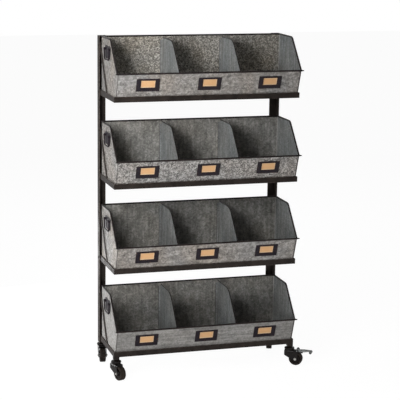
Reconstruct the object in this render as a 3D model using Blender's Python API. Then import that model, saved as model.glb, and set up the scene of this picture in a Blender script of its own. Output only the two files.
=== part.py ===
# A four-tier bin cart. Slope-front galvanised bins stand in angle-iron shelves, which two rear uprights
# carry, on four swivel casters. Metres, +X to the right, +Y to the back, +Z up. The origin is on the floor,
# under the middle of the frame's footprint.
import math

import bmesh
import bpy
from mathutils import Matrix, Vector

# Frame
FRAME_WIDTH = 0.690  # over the side rails of a shelf
SHELF_DEPTH = 0.218  # front rail face to back rail face
RAIL_LEG = 0.020  # both legs of the shelf angle
RAIL_WALL = 0.003
UPRIGHT_LEG = 0.030  # both legs of the upright angle
UPRIGHT_WALL = 0.003
UPRIGHT_SETBACK = 0.031  # back rail face to the upright's rear leg
BRACE_WIDTH = 0.012
BRACE_WALL = 0.0024
BRACE_REACH = 0.099  # upright's front edge to the foot of the brace
BRACE_DROP = 0.039  # top of a bin to the head of the brace
BRACE_LAP = 0.018  # brace lying against the upright
SOCKET_SIZE = 0.020  # square block that takes a caster stem
SOCKET_DROP = 0.0095  # how far a socket reaches below the lowest shelf

# Bins
SHEET = 0.0012
BIN_RISE = 0.1947  # top of the back panel above the shelf's lip
FRONT_RISE = 0.0827  # top of the front panel above the shelf's lip
FRONT_LEAN = 0.0305  # how far the front panel leans out over its rise
LEVEL_TOP = 0.1355  # level part of the end panel's top, from the back to the slope
KNEE_RADIUS = 0.025
RIM_RADIUS = 0.0025
HEAD_ROOM = 0.0951  # top of a bin to the shelf above it
DIVIDER_KNEE_RADIUS = 0.060
DIVIDER_DROP = 0.008  # divider's edge inside the end panel's edge
HEM_RADIUS = 0.0018
FOOT_WIDTH = 0.012  # folded foot along a divider's lower edge

# Label holders
LABEL_WIDTH = 0.085
LABEL_HEIGHT = 0.049
WINDOW_WIDTH = 0.051
WINDOW_HEIGHT = 0.0275
WINDOW_LIFT = 0.004  # middle of the window above the middle of the holder
LABEL_WALL = 0.0012
CARD_GAP = 0.0008
CARD_EDGE = 0.004  # how far the card slot reaches past the window

# Drop handles
HANDLE_DROP = 0.0377  # top of a bin down to the bail's pivot
HANDLE_SETBACK = 0.0995  # bin's back to the middle of the handle
PLATE_WIDTH = 0.086
PLATE_ABOVE = 0.013  # plate above the pivot
PLATE_BELOW = 0.031  # plate below the pivot
PLATE_TAPER = 0.008  # how far each side of the plate leans in, from its top to its foot
PLATE_WALL = 0.0015
PLATE_CORNER = 0.007
KNUCKLE_RADIUS = 0.0045
KNUCKLE_LENGTH = 0.010
BAIL_SPAN = 0.076  # between the middles of the bail's legs
BAIL_DROP = 0.037  # pivot to the middle of the grip
BAIL_RADIUS = 0.0024
BAIL_BEND = 0.010
BAIL_TAPER = 0.007  # how far each leg leans in from the pivot to the grip

# Casters
WHEEL_RADIUS = 0.026
WHEEL_WIDTH = 0.022
HUB_RADIUS = 0.008
TREAD_DEPTH = 0.006
FACE_RECESS = 0.002
SHOULDER = 0.002
AXLE_RADIUS = 0.003
AXLE_HEAD_RADIUS = 0.0052
AXLE_HEAD = 0.003
TRAIL = 0.025  # swivel axis to the axle, level
FORK_WALL = 0.0025
FORK_BOSS_RADIUS = 0.0085
BOSS_ARC = (200, 360)  # degrees about the axle
CROWN_BACK = 0.017  # crown behind the swivel axis
CROWN_FRONT = 0.021  # crown ahead of the swivel axis
CROWN_SKIRT = 0.018  # back wall of a fork below the crown, and the straight part of its legs
HEAD_RADIUS = 0.019  # swivel race
HEAD_HEIGHT = 0.013
HEAD_FOOT_RADIUS = 0.017
HEAD_NECK_RADIUS = 0.0133
HEAD_BAND = (0.003, 0.0065)  # widest part of the race, above the crown
STEM_RADIUS = 0.005
STEM_SHOULDER_RADIUS = 0.0075
PEDAL_WIDTH = 0.020
PEDAL_WALL = 0.0025
PEDAL_REACH = 0.050  # pivot to the pedal's tip
PEDAL_CURL = 0.0062  # radius of the tip, curled under
PEDAL_BARREL = 0.0042
PEDAL_PIN = 0.0024
PEDAL_EAR = 0.0060
EAR_ARC = (-40, 120)  # degrees about the pedal's pivot
PEDAL_PIVOT_AHEAD = 0.010  # crown's front edge to the pedal's pivot
PAD_LENGTH = 0.010
PAD_AHEAD = 0.65  # share of the wheel's radius from the axle to the brake pad

# Clearances
TOUCH = 0.0003  # between pieces that rest on or are fastened to each other
BIN_CLEARANCE = 0.0015  # bin to shelf lip, each side
RUNNING = 0.0004  # pins and stems in their holes, on the radius
FORK_CLEARANCE = 0.002  # wheel to fork leg, each side
WHEEL_CLEARANCE = 0.004  # wheel to fork crown
SWIVEL_CLEARANCE = 0.001  # swivel race to socket
PAD_CLEARANCE = 0.0028  # brake pad to wheel, released

# Counts
ROUND_STEPS = 12
WHEEL_STEPS = 24
RACE_STEPS = 16
KNUCKLE_STEPS = 10
TUBE_SIDES = 8
ARC_STEPS = 6
BEND_STEPS = 3  # small bends and corners
TIERS = ("bottom", "lower", "upper", "top")
COMPARTMENTS = ("left", "middle", "right")

# Each caster: side in X, side in Y, which way its wheel trails (degrees from +X), and whether it has a brake
CASTERS = {
    "front_left": (-1, -1, 290, False),
    "front_right": (1, -1, 328, True),
    "rear_left": (-1, 1, 262, False),
    "rear_right": (1, 1, 250, True),
}

# Derived levels and lines
DEEPEST = SHELF_DEPTH + UPRIGHT_SETBACK + UPRIGHT_WALL
FRONT_Y = -DEEPEST / 2
REAR_Y = DEEPEST / 2
BACK_RAIL_Y = FRONT_Y + SHELF_DEPTH
UPRIGHT_FACE_Y = REAR_Y - UPRIGHT_WALL  # front of the upright's rear leg
UPRIGHT_X = FRAME_WIDTH / 2 + TOUCH + UPRIGHT_WALL  # outer face of an upright
AXLE_Z = WHEEL_RADIUS * math.cos(math.pi / WHEEL_STEPS)
CROWN_Z = AXLE_Z + WHEEL_RADIUS + WHEEL_CLEARANCE
HEAD_TOP = CROWN_Z + FORK_WALL + HEAD_HEIGHT
SOCKET_Z = HEAD_TOP + SWIVEL_CLEARANCE
FIRST_SHELF_Z = SOCKET_Z + SOCKET_DROP
SHELF_PITCH = RAIL_LEG + BIN_RISE + HEAD_ROOM
BIN_WIDTH = FRAME_WIDTH - 2 * (RAIL_WALL + BIN_CLEARANCE)
BIN_BACK_Y = BACK_RAIL_Y - RAIL_WALL - BIN_CLEARANCE
BIN_LIP_Y = FRONT_Y + RAIL_WALL + BIN_CLEARANCE  # front panel where it passes the shelf's lip
BIN_FLOOR = RAIL_WALL + TOUCH - RAIL_LEG  # underside of a bin, from the shelf's lip
LEAN = FRONT_LEAN / FRONT_RISE
LEAN_ANGLE = math.atan(LEAN)
LEAN_STRETCH = math.hypot(1, LEAN)  # level width of a sheet of unit thickness lying along the front panel
COMPARTMENT_WIDTH = (BIN_WIDTH - 2 * SHEET) / len(COMPARTMENTS)


def clear_scene():
    for obj in list(bpy.data.objects):
        bpy.data.objects.remove(obj, do_unlink=True)


def make_material(name, color, roughness, metallic):
    material = bpy.data.materials.new(name)
    material.use_nodes = True
    shader = material.node_tree.nodes["Principled BSDF"]
    shader.inputs["Base Color"].default_value = (*color, 1)
    shader.inputs["Roughness"].default_value = roughness
    shader.inputs["Metallic"].default_value = metallic
    return material


def finish_mesh(bm, name):
    bmesh.ops.recalc_face_normals(bm, faces=bm.faces)
    mesh = bpy.data.meshes.new(name)
    bm.to_mesh(mesh)
    bm.free()
    return mesh


def add_object(name, mesh, material=None, parent=None, location=(0, 0, 0), rotation=(0, 0, 0)):
    obj = bpy.data.objects.new(name, mesh)
    bpy.context.scene.collection.objects.link(obj)
    obj.parent = parent
    obj.location = location
    obj.rotation_euler = rotation
    if material and not mesh.materials:
        mesh.materials.append(material)
        mesh.shade_smooth()
        mesh.set_sharp_from_angle(angle=math.radians(35))
    return obj


def combine(base, tools, operation):
    # The base mesh with each tool mesh joined to it or cut out of it
    body = add_object("combine_base", base)
    helpers = [body]
    for tool in tools:
        helper = add_object("combine_tool", tool)
        modifier = body.modifiers.new("combine", "BOOLEAN")
        modifier.operation = operation
        modifier.solver = "EXACT"
        modifier.object = helper
        helpers.append(helper)
    bpy.context.view_layer.update()
    graph = bpy.context.evaluated_depsgraph_get()
    result = bpy.data.meshes.new_from_object(body.evaluated_get(graph))
    for helper in helpers:
        bpy.data.objects.remove(helper, do_unlink=True)
    return result


def join(base, *tools):
    return combine(base, tools, "UNION")


def cut(base, *tools):
    return combine(base, tools, "DIFFERENCE")


def prism(outline, start, end, axis):
    # A closed outline of (u, v) points swept along an axis: X takes (y, z), Y takes (x, z), Z takes (x, y)
    order = {"X": (2, 0, 1), "Y": (0, 2, 1), "Z": (0, 1, 2)}[axis]
    bm = bmesh.new()
    near, far = [], []
    for u, v in outline:
        for ring, w in ((near, start), (far, end)):
            point = (u, v, w)
            ring.append(bm.verts.new([point[i] for i in order]))
    bm.faces.new(near)
    bm.faces.new(far)
    for i in range(len(outline)):
        j = (i + 1) % len(outline)
        bm.faces.new((near[i], near[j], far[j], far[i]))
    return finish_mesh(bm, "prism")


def box(low, high):
    (x0, y0, z0), (x1, y1, z1) = low, high
    return prism([(x0, y0), (x1, y0), (x1, y1), (x0, y1)], z0, z1, "Z")


def turned(profile, steps, axis="Z"):
    # A closed profile of (radius, height) points spun about an axis; points on the axis become one vertex
    bm = bmesh.new()
    rings = []
    for radius, height in profile:
        count = steps if radius > 0 else 1
        angles = [math.tau * (k + 0.5) / steps for k in range(count)]
        rings.append([bm.verts.new((radius * math.cos(a), radius * math.sin(a), height)) for a in angles])
    loop = len(rings) if min(radius for radius, height in profile) > 0 else len(rings) - 1
    for i in range(loop):
        lower, upper = rings[i], rings[(i + 1) % len(rings)]
        for k in range(steps):
            n = (k + 1) % steps
            if len(lower) == 1:
                bm.faces.new((lower[0], upper[k], upper[n]))
            elif len(upper) == 1:
                bm.faces.new((lower[k], lower[n], upper[0]))
            else:
                bm.faces.new((lower[k], lower[n], upper[n], upper[k]))
    if axis == "Y":
        bm.transform(Matrix.Rotation(math.radians(90), 4, "X") @ Matrix.Rotation(math.radians(90), 4, "Z"))
    return finish_mesh(bm, "turned")


def rod(radius, start, end, steps, axis="Z"):
    return turned([(0, start), (radius, start), (radius, end), (0, end)], steps, axis)


def tube(path, radius, sides=TUBE_SIDES):
    # A round bar along a path of points, mitred where the path turns
    points = [Vector(p) for p in path]
    bm = bmesh.new()
    along = (points[1] - points[0]).normalized()
    side = along.orthogonal().normalized()
    rings = []
    for i, point in enumerate(points):
        ahead = (points[min(i + 1, len(points) - 1)] - points[min(i, len(points) - 2)]).normalized()
        mitre = (along + ahead).normalized()
        ring = []
        for k in range(sides):
            offset = Matrix.Rotation(math.tau * (k + 0.5) / sides, 3, along) @ side * radius
            offset -= along * (offset.dot(mitre) / along.dot(mitre))
            ring.append(bm.verts.new(point + offset))
        rings.append(ring)
        side = along.rotation_difference(ahead) @ side
        along = ahead
    for lower, upper in zip(rings, rings[1:]):
        for k in range(sides):
            n = (k + 1) % sides
            bm.faces.new((lower[k], lower[n], upper[n], upper[k]))
    bm.faces.new(rings[0])
    bm.faces.new(rings[-1])
    return finish_mesh(bm, "tube")


def rounded(outline, radii, steps=ARC_STEPS):
    # The outline with an arc in place of each corner that radii gives a radius for
    result = []
    for i, corner in enumerate(outline):
        if i not in radii:
            result.append(corner)
            continue
        here = Vector(corner)
        before = (Vector(outline[i - 1]) - here).normalized()
        after = (Vector(outline[(i + 1) % len(outline)]) - here).normalized()
        half = before.angle(after) / 2
        middle = here + (before + after).normalized() * (radii[i] / math.sin(half))
        start = here + before * (radii[i] / math.tan(half)) - middle
        swing = start.angle_signed(here + after * (radii[i] / math.tan(half)) - middle)
        for k in range(steps + 1):
            result.append(tuple(middle + Matrix.Rotation(-swing * k / steps, 2) @ start))
    return result


def arc(middle, radius, span):
    # Points round a middle, from the first angle of the span to the last
    points = []
    for k in range(ARC_STEPS + 1):
        angle = math.radians(span[0] + (span[1] - span[0]) * k / ARC_STEPS)
        points.append((middle[0] + radius * math.cos(angle), middle[1] + radius * math.sin(angle)))
    return points


def make_uprights(paint):
    top = FIRST_SHELF_Z + (len(TIERS) - 1) * SHELF_PITCH + RAIL_LEG + BIN_RISE
    for name, side in (("left", -1), ("right", 1)):
        angle = [
            (side * UPRIGHT_X, REAR_Y),
            (side * UPRIGHT_X, REAR_Y - UPRIGHT_LEG),
            (side * (UPRIGHT_X - UPRIGHT_WALL), REAR_Y - UPRIGHT_LEG),
            (side * (UPRIGHT_X - UPRIGHT_WALL), UPRIGHT_FACE_Y),
            (side * (UPRIGHT_X - UPRIGHT_LEG), UPRIGHT_FACE_Y),
            (side * (UPRIGHT_X - UPRIGHT_LEG), REAR_Y),
        ]
        x, y = stem_place(side, 1)
        socket = socket_block(x, y, UPRIGHT_WALL / 2, FIRST_SHELF_Z - TOUCH)
        mesh = join(prism(angle, SOCKET_Z, top, "Z"), socket)
        add_object(f"upright_{name}", cut(mesh, stem_hole(x, y)), paint)


def stem_place(side_x, side_y):
    # The swivel axis: the middle of a socket in the shelf's corner in front, and in the upright's behind
    if side_y < 0:
        return side_x * (FRAME_WIDTH - SOCKET_SIZE) / 2, FRONT_Y + SOCKET_SIZE / 2
    return side_x * (UPRIGHT_X - UPRIGHT_WALL - SOCKET_SIZE / 2), UPRIGHT_FACE_Y - SOCKET_SIZE / 2


def socket_block(x, y, sink, top):
    half = SOCKET_SIZE / 2
    out = math.copysign(1, x) * (half + sink)
    inward = -math.copysign(1, x) * half
    low, high = sorted((x + out, x + inward))
    return box((low, y - half, SOCKET_Z), (high, y + half + sink, top))


def stem_hole(x, y):
    hole = rod(STEM_RADIUS + RUNNING, SOCKET_Z - STEM_RADIUS, FIRST_SHELF_Z - TOUCH / 2, ROUND_STEPS)
    hole.transform(Matrix.Translation((x, y, 0)))
    return hole


def shelf_mesh():
    # Angle-iron ring from its own underside: its side rails run back to the uprights, with a brace on each
    half = FRAME_WIDTH / 2
    inner = half - RAIL_WALL
    open_half = half - RAIL_LEG
    ring = cut(
        box((-half, FRONT_Y, 0), (half, BACK_RAIL_Y, RAIL_LEG)),
        box((-inner, FRONT_Y + RAIL_WALL, RAIL_WALL), (inner, BACK_RAIL_Y - RAIL_WALL, 2 * RAIL_LEG)),
        box((-open_half, FRONT_Y + RAIL_LEG, -RAIL_LEG), (open_half, BACK_RAIL_Y - RAIL_LEG, RAIL_LEG)),
    )
    upright_leg = [(half, 0), (half, RAIL_LEG), (inner, RAIL_LEG)]
    level_leg = [(inner, RAIL_WALL), (open_half, RAIL_WALL), (open_half, 0)]
    pieces = []
    for side in (-1, 1):
        tail = [(side * x, z) for x, z in upright_leg + level_leg]
        pieces.append(prism(tail, BACK_RAIL_Y - RAIL_WALL / 2, UPRIGHT_FACE_Y - TOUCH, "Y"))
        pieces.append(brace_mesh(side))
    return join(ring, *pieces)


def brace_mesh(side):
    edge = REAR_Y - UPRIGHT_LEG
    head = Vector((edge, RAIL_LEG + BIN_RISE - BRACE_DROP))
    foot = Vector((edge - BRACE_REACH, RAIL_LEG))
    along = (head - foot).normalized()
    across = Vector((-along.y, along.x)) * BRACE_WIDTH / 2
    foot = foot - along * RAIL_LEG / 2
    head = head + along * BRACE_LAP
    outline = [foot + across, foot - across, head - across, head + across]
    middle = side * (FRAME_WIDTH - RAIL_WALL) / 2
    return prism([tuple(p) for p in outline], middle - BRACE_WALL / 2, middle + BRACE_WALL / 2, "X")


def make_shelves(paint):
    mesh = shelf_mesh()
    for tier, name in enumerate(TIERS):
        body = mesh.copy()
        if tier == 0:
            for side in (-1, 1):
                x, y = stem_place(side, -1)
                z = Matrix.Translation((0, 0, -FIRST_SHELF_Z))
                post = socket_block(x, y, 0, FIRST_SHELF_Z + RAIL_WALL / 2)
                hole = stem_hole(x, y)
                post.transform(z)
                hole.transform(z)
                body = cut(join(body, post), hole)
        add_object(f"shelf_frame_{name}", body, paint, location=(0, 0, FIRST_SHELF_Z + tier * SHELF_PITCH))


def front_y(z):
    # Outer face of a bin's front panel, at a height above the shelf's lip
    return BIN_LIP_Y - LEAN * z


def end_profile(inset, floor_inset, radius):
    # Outline of an end panel, or of a divider inside it: floor, back, level top, knee, slope and front
    top = BIN_RISE - inset
    slope = Vector((front_y(FRONT_RISE) - (BIN_BACK_Y - LEVEL_TOP), FRONT_RISE - BIN_RISE)).normalized()
    knee = Vector((BIN_BACK_Y - LEVEL_TOP, BIN_RISE))
    down = Vector((-slope.y, slope.x)) * inset
    knee = knee + down + slope * ((top - knee.y - down.y) / slope.y)
    wall = floor_inset * LEAN_STRETCH
    reach = (front_y(knee.y) + wall - knee.x) / (slope.x + LEAN * slope.y)
    nose = knee + slope * reach
    floor = BIN_FLOOR + floor_inset
    outline = [
        (front_y(floor) + wall, floor),
        (BIN_BACK_Y - floor_inset, floor),
        (BIN_BACK_Y - floor_inset, top),
        tuple(knee),
        tuple(nose),
    ]
    return rounded(outline, {3: radius})


def shell_mesh():
    half = BIN_WIDTH / 2
    profile = end_profile(0, 0, KNEE_RADIUS)
    above = BIN_RISE + SHEET
    floor = BIN_FLOOR + SHEET
    wall = SHEET * LEAN_STRETCH
    hollow = [
        (front_y(floor) + wall, floor),
        (BIN_BACK_Y - SHEET, floor),
        (BIN_BACK_Y - SHEET, above),
        (front_y(above) + wall, above),
    ]
    shell = cut(prism(profile, -half, half, "X"), prism(hollow, SHEET - half, half - SHEET, "X"))
    edge = profile[2:]
    rims = []
    for y, z in (edge[0], edge[-1]):
        inward = SHEET / 2 if y < 0 else -SHEET / 2
        rims.append(tube([(-half, y + inward, z), (half, y + inward, z)], RIM_RADIUS))
    for side in (-1, 1):
        rims.append(tube([(side * (half - SHEET / 2), y, z) for y, z in edge], RIM_RADIUS))
    return join(shell, *rims)


def divider_mesh():
    profile = end_profile(DIVIDER_DROP, SHEET + TOUCH, DIVIDER_KNEE_RADIUS)
    plate = prism(profile, -SHEET / 2, SHEET / 2, "X")
    edge = [(0, y, z) for y, z in profile[2:]]
    # The hem stops short of both panels by its own radius
    edge[0] = (0, edge[0][1] - HEM_RADIUS, edge[0][2])
    edge[-1] = tuple(Vector(edge[-1]).lerp(Vector(edge[-2]), 3 * HEM_RADIUS / FRONT_RISE))
    (front, floor), (back, _) = profile[:2]
    foot = box((0, front + FOOT_WIDTH, floor), (FOOT_WIDTH, back - FOOT_WIDTH, floor + SHEET))
    return join(plate, tube(edge, HEM_RADIUS), foot)


def label_mesh():
    # Lies in its own plane: X across, Y up the panel, Z out from the panel's face
    half_x = LABEL_WIDTH / 2
    half_y = LABEL_HEIGHT / 2
    face = TOUCH + CARD_GAP
    body = box((-half_x, -half_y, TOUCH), (half_x, half_y, face + LABEL_WALL))
    pane_x = WINDOW_WIDTH / 2
    pane_y = WINDOW_HEIGHT / 2
    sill = WINDOW_LIFT - pane_y
    window = box((-pane_x, sill, -face), (pane_x, WINDOW_LIFT + pane_y, 2 * (face + LABEL_WALL)))
    slot_x = pane_x + CARD_EDGE
    slot = box((-slot_x, sill - CARD_EDGE, -face), (slot_x, 2 * half_y, face))
    return cut(body, window, slot)


def plate_mesh():
    # The handle's plate in the handle's own frame: pivot along Y through the origin, X out from the bin's end
    half = PLATE_WIDTH / 2
    back = TOUCH - handle_offset()
    foot = half - PLATE_TAPER
    corners = [(-foot, -PLATE_BELOW), (foot, -PLATE_BELOW), (half, PLATE_ABOVE), (-half, PLATE_ABOVE)]
    outline = rounded(corners, {i: PLATE_CORNER for i in range(4)}, BEND_STEPS)
    plate = prism(outline, back, back + PLATE_WALL, "X")
    bore = BAIL_RADIUS + RUNNING
    inner = bail_gap()
    knuckles = []
    for side in (-1, 1):
        start, end = sorted((side * (inner - KNUCKLE_LENGTH), side * inner))
        ring = [(bore, start), (KNUCKLE_RADIUS, start), (KNUCKLE_RADIUS, end), (bore, end)]
        knuckles.append(turned(ring, KNUCKLE_STEPS, "Y"))
    return join(plate, *knuckles)


def handle_offset():
    # Bin's end face to the bail's pivot: the knuckle is let into the plate by half the plate's thickness
    return TOUCH + PLATE_WALL / 2 + KNUCKLE_RADIUS


def bail_gap():
    # Middle of the handle to the outer end of a knuckle, clear of the leaning leg
    lean = BAIL_TAPER / BAIL_DROP
    return BAIL_SPAN / 2 - BAIL_RADIUS * math.hypot(1, lean) - KNUCKLE_RADIUS * lean - RUNNING


def bail_mesh():
    half = BAIL_SPAN / 2
    grip = half - BAIL_TAPER
    tip = bail_gap() - KNUCKLE_LENGTH
    bend = {1: BAIL_RADIUS, 2: BAIL_BEND, 3: BAIL_BEND, 4: BAIL_RADIUS}
    route = [(-tip, 0), (-half, 0), (-grip, -BAIL_DROP), (grip, -BAIL_DROP), (half, 0), (tip, 0)]
    return tube([(0, y, z) for y, z in rounded(route, bend, BEND_STEPS)], BAIL_RADIUS)


def make_bins(steel, black):
    shell = shell_mesh()
    divider = divider_mesh()
    label = label_mesh()
    plate = plate_mesh()
    bail = bail_mesh()
    middle = FRONT_RISE / 2
    for tier, name in enumerate(TIERS):
        # A bin's own zero is the top of its shelf's lip
        seat = bpy.data.objects.new(f"bin_{name}_seat", None)
        bpy.context.scene.collection.objects.link(seat)
        seat.location = (0, 0, FIRST_SHELF_Z + tier * SHELF_PITCH + RAIL_LEG)
        add_object(f"bin_{name}", shell, steel, seat)
        for number, side in (("left", -1), ("right", 1)):
            add_object(f"divider_{name}_{number}", divider, steel, seat, (side * COMPARTMENT_WIDTH / 2, 0, 0))
        for number, column in enumerate(COMPARTMENTS):
            x = (number - 1) * COMPARTMENT_WIDTH
            place = (x, front_y(middle), middle)
            tilt = (math.radians(90) + LEAN_ANGLE, 0, 0)
            add_object(f"label_holder_{name}_{column}", label, black, seat, place, tilt)
        for end, side in (("left", -1), ("right", 1)):
            x = side * (BIN_WIDTH / 2 + handle_offset())
            place = (x, BIN_BACK_Y - HANDLE_SETBACK, BIN_RISE - HANDLE_DROP)
            turn = (0, 0, 0 if side > 0 else math.pi)
            add_object(f"handle_plate_{name}_{end}", plate, black, seat, place, turn)
            add_object(f"handle_bail_{name}_{end}", bail, black, seat, place, turn)


def wheel_mesh():
    half = WHEEL_WIDTH / 2
    bore = AXLE_RADIUS + RUNNING
    rim = WHEEL_RADIUS - TREAD_DEPTH
    side = [
        (bore, half),
        (HUB_RADIUS, half),
        (HUB_RADIUS + FACE_RECESS, half - FACE_RECESS),
        (rim - FACE_RECESS, half - FACE_RECESS),
        (rim, half),
        (WHEEL_RADIUS - SHOULDER, half),
        (WHEEL_RADIUS, half - SHOULDER),
    ]
    mirrored = [(radius, -width) for radius, width in reversed(side)]
    return turned(side + mirrored, WHEEL_STEPS, "Y")


def fork_half():
    # Middle of the fork to the outer face of a leg
    return WHEEL_WIDTH / 2 + FORK_CLEARANCE + FORK_WALL


def pedal_pivot():
    return CROWN_FRONT + PEDAL_PIVOT_AHEAD, CROWN_Z + FORK_WALL


def fork_mesh(braked):
    # Swivel axis on Z with the floor at zero, wheel trailing towards +X
    half = fork_half()
    top = CROWN_Z + FORK_WALL
    skirt = CROWN_Z - CROWN_SKIRT
    leg = [(-CROWN_BACK, top), (-CROWN_BACK, skirt), *arc((TRAIL, AXLE_Z), FORK_BOSS_RADIUS, BOSS_ARC)]
    if braked:
        leg += arc(pedal_pivot(), PEDAL_EAR, EAR_ARC)
    leg.append((CROWN_FRONT, top))
    parts = [prism(leg, side * half, side * (half - FORK_WALL), "Y") for side in (-1, 1)]
    crown = box((-CROWN_BACK, -half, CROWN_Z), (CROWN_FRONT, half, top))
    back_wall = box((-CROWN_BACK, -half, skirt), (FORK_WALL - CROWN_BACK, half, top))
    race = [
        (0, CROWN_Z + FORK_WALL / 2),
        (HEAD_FOOT_RADIUS, CROWN_Z + FORK_WALL / 2),
        (HEAD_RADIUS, top + HEAD_BAND[0]),
        (HEAD_RADIUS, top + HEAD_BAND[1]),
        (HEAD_NECK_RADIUS, HEAD_TOP - FORK_WALL),
        (STEM_SHOULDER_RADIUS, HEAD_TOP),
        (STEM_RADIUS, HEAD_TOP),
        (STEM_RADIUS, FIRST_SHELF_Z - 2 * TOUCH),
        (0, FIRST_SHELF_Z - 2 * TOUCH),
    ]
    fork = join(turned(race, RACE_STEPS), crown, back_wall, *parts)
    holes = [pin_hole(AXLE_RADIUS, TRAIL, AXLE_Z)]
    if braked:
        holes.append(pin_hole(PEDAL_PIN, *pedal_pivot()))
    return cut(fork, *holes)


def pin_hole(radius, x, z):
    hole = rod(radius + RUNNING, -2 * fork_half(), 2 * fork_half(), ROUND_STEPS, "Y")
    hole.transform(Matrix.Translation((x, 0, z)))
    return hole


def axle_mesh():
    near = fork_half() + TOUCH
    far = near + AXLE_HEAD
    profile = [
        (0, -far),
        (AXLE_HEAD_RADIUS, -far),
        (AXLE_HEAD_RADIUS, -near),
        (AXLE_RADIUS, -near),
        (AXLE_RADIUS, near),
        (AXLE_HEAD_RADIUS, near),
        (AXLE_HEAD_RADIUS, far),
        (0, far),
    ]
    return turned(profile, ROUND_STEPS, "Y")


def pedal_mesh():
    # In the pedal's own frame: pivot along Y through the origin, tip towards +X
    half = PEDAL_WIDTH / 2
    pivot_x, pivot_z = pedal_pivot()
    pad_start = TRAIL + PAD_AHEAD * WHEEL_RADIUS
    pad_foot = AXLE_Z + WHEEL_RADIUS * math.sqrt(1 - PAD_AHEAD**2) + PAD_CLEARANCE
    pad = (pad_start - pivot_x, pad_foot - pivot_z)
    thick = PEDAL_WALL / 2
    plate = box((0, -half, -thick), (PEDAL_REACH, half, thick))
    barrel = rod(PEDAL_BARREL, -half, half, ROUND_STEPS, "Y")
    pin = rod(PEDAL_PIN, -fork_half() - TOUCH, fork_half() + TOUCH, ROUND_STEPS, "Y")
    curl = rod(PEDAL_CURL, -half, half, ROUND_STEPS, "Y")
    curl.transform(Matrix.Translation((PEDAL_REACH, 0, thick - PEDAL_CURL)))
    shoe = box((pad[0], -half + FORK_WALL, pad[1]), (pad[0] + PAD_LENGTH, half - FORK_WALL, 0))
    return join(plate, barrel, pin, curl, shoe)


def make_casters(paint, rubber, zinc):
    forks = {braked: fork_mesh(braked) for braked in (False, True)}
    axle = axle_mesh()
    wheel = wheel_mesh()
    pedal = pedal_mesh()
    for name, (side_x, side_y, heading, braked) in CASTERS.items():
        swivel = bpy.data.objects.new(f"caster_{name}_swivel", None)
        bpy.context.scene.collection.objects.link(swivel)
        swivel.location = (*stem_place(side_x, side_y), 0)
        swivel.rotation_euler = (0, 0, math.radians(heading))
        add_object(f"caster_fork_{name}", forks[braked], paint, swivel)
        add_object(f"caster_axle_{name}", axle, zinc, swivel, (TRAIL, 0, AXLE_Z))
        add_object(f"caster_wheel_{name}", wheel, rubber, swivel, (TRAIL, 0, AXLE_Z))
        if braked:
            x, z = pedal_pivot()
            add_object(f"brake_pedal_{name}", pedal, zinc, swivel, (x, 0, z))


def main():
    clear_scene()
    paint = make_material("bronze_black_paint", (0.030, 0.025, 0.022), 0.42, 0.55)
    steel = make_material("galvanised_sheet", (0.34, 0.34, 0.32), 0.45, 0.75)
    black = make_material("blackened_steel", (0.035, 0.033, 0.035), 0.50, 0.60)
    rubber = make_material("wheel_rubber", (0.030, 0.027, 0.026), 0.60, 0.0)
    zinc = make_material("zinc_plate", (0.42, 0.42, 0.42), 0.35, 0.90)
    make_uprights(paint)
    make_shelves(paint)
    make_bins(steel, black)
    make_casters(paint, rubber, zinc)


main()
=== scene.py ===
import math
import bmesh
import bpy
from mathutils import Matrix, Vector


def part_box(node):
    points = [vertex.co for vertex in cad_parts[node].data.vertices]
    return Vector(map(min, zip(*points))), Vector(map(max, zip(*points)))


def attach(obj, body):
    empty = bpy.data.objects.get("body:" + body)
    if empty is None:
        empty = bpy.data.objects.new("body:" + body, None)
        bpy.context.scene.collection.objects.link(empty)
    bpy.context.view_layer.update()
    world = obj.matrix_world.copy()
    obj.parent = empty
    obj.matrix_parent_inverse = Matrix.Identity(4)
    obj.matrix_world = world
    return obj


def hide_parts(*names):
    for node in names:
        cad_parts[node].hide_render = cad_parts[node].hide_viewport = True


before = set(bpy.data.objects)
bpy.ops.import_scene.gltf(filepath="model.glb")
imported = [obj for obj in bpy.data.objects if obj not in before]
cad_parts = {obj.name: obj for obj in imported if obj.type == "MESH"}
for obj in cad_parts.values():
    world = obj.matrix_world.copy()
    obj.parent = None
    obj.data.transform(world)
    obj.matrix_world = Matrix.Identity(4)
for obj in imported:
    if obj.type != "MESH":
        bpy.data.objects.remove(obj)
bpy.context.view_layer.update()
print("frame loaded:", len(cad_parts), "nodes")

tiers = ("bottom", "lower", "upper", "top")
sides = {"left": -1, "right": 1}

cart = {
    "halfWidth": 0.345,  # over the side rails
    "frontY": -0.126,
    "backRailY": 0.092,
    "rearY": 0.126,
    "binDrop": 0.0167,  # underside of a bin below its shelf's lip
    "binRise": 0.1947,  # top of a bin above its shelf's lip
    "gap": 0.0003,  # between fastened pieces
}
lipZ = {tier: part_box(f"bin_{tier}")[0].z + cart["binDrop"] for tier in tiers}


# shader helpers

def isSocket(value):
    return isinstance(value, bpy.types.NodeSocket)


def feed(tree, node, inputs):
    # links the sockets among the values, and sets the rest
    for name, value in inputs.items():
        if isSocket(value):
            tree.links.new(value, node.inputs[name])
        else:
            node.inputs[name].default_value = value


def addNode(tree, kind, inputs=None, **settings):
    made = tree.nodes.new(kind)
    for name, value in settings.items():
        setattr(made, name, value)
    feed(tree, made, inputs or {})
    return made


def newGroup(name, inputs, outputs):
    # a tuple among the inputs makes a vector socket, a number a plain one
    tree = bpy.data.node_groups.new(name, "ShaderNodeTree")
    for label, value in inputs.items():
        kind = "NodeSocketVector" if isinstance(value, tuple) else "NodeSocketFloat"
        tree.interface.new_socket(name=label, in_out="INPUT", socket_type=kind).default_value = value
    for label in outputs:
        tree.interface.new_socket(name=label, in_out="OUTPUT", socket_type="NodeSocketFloat")
    return tree, addNode(tree, "NodeGroupInput").outputs, addNode(tree, "NodeGroupOutput").inputs


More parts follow.
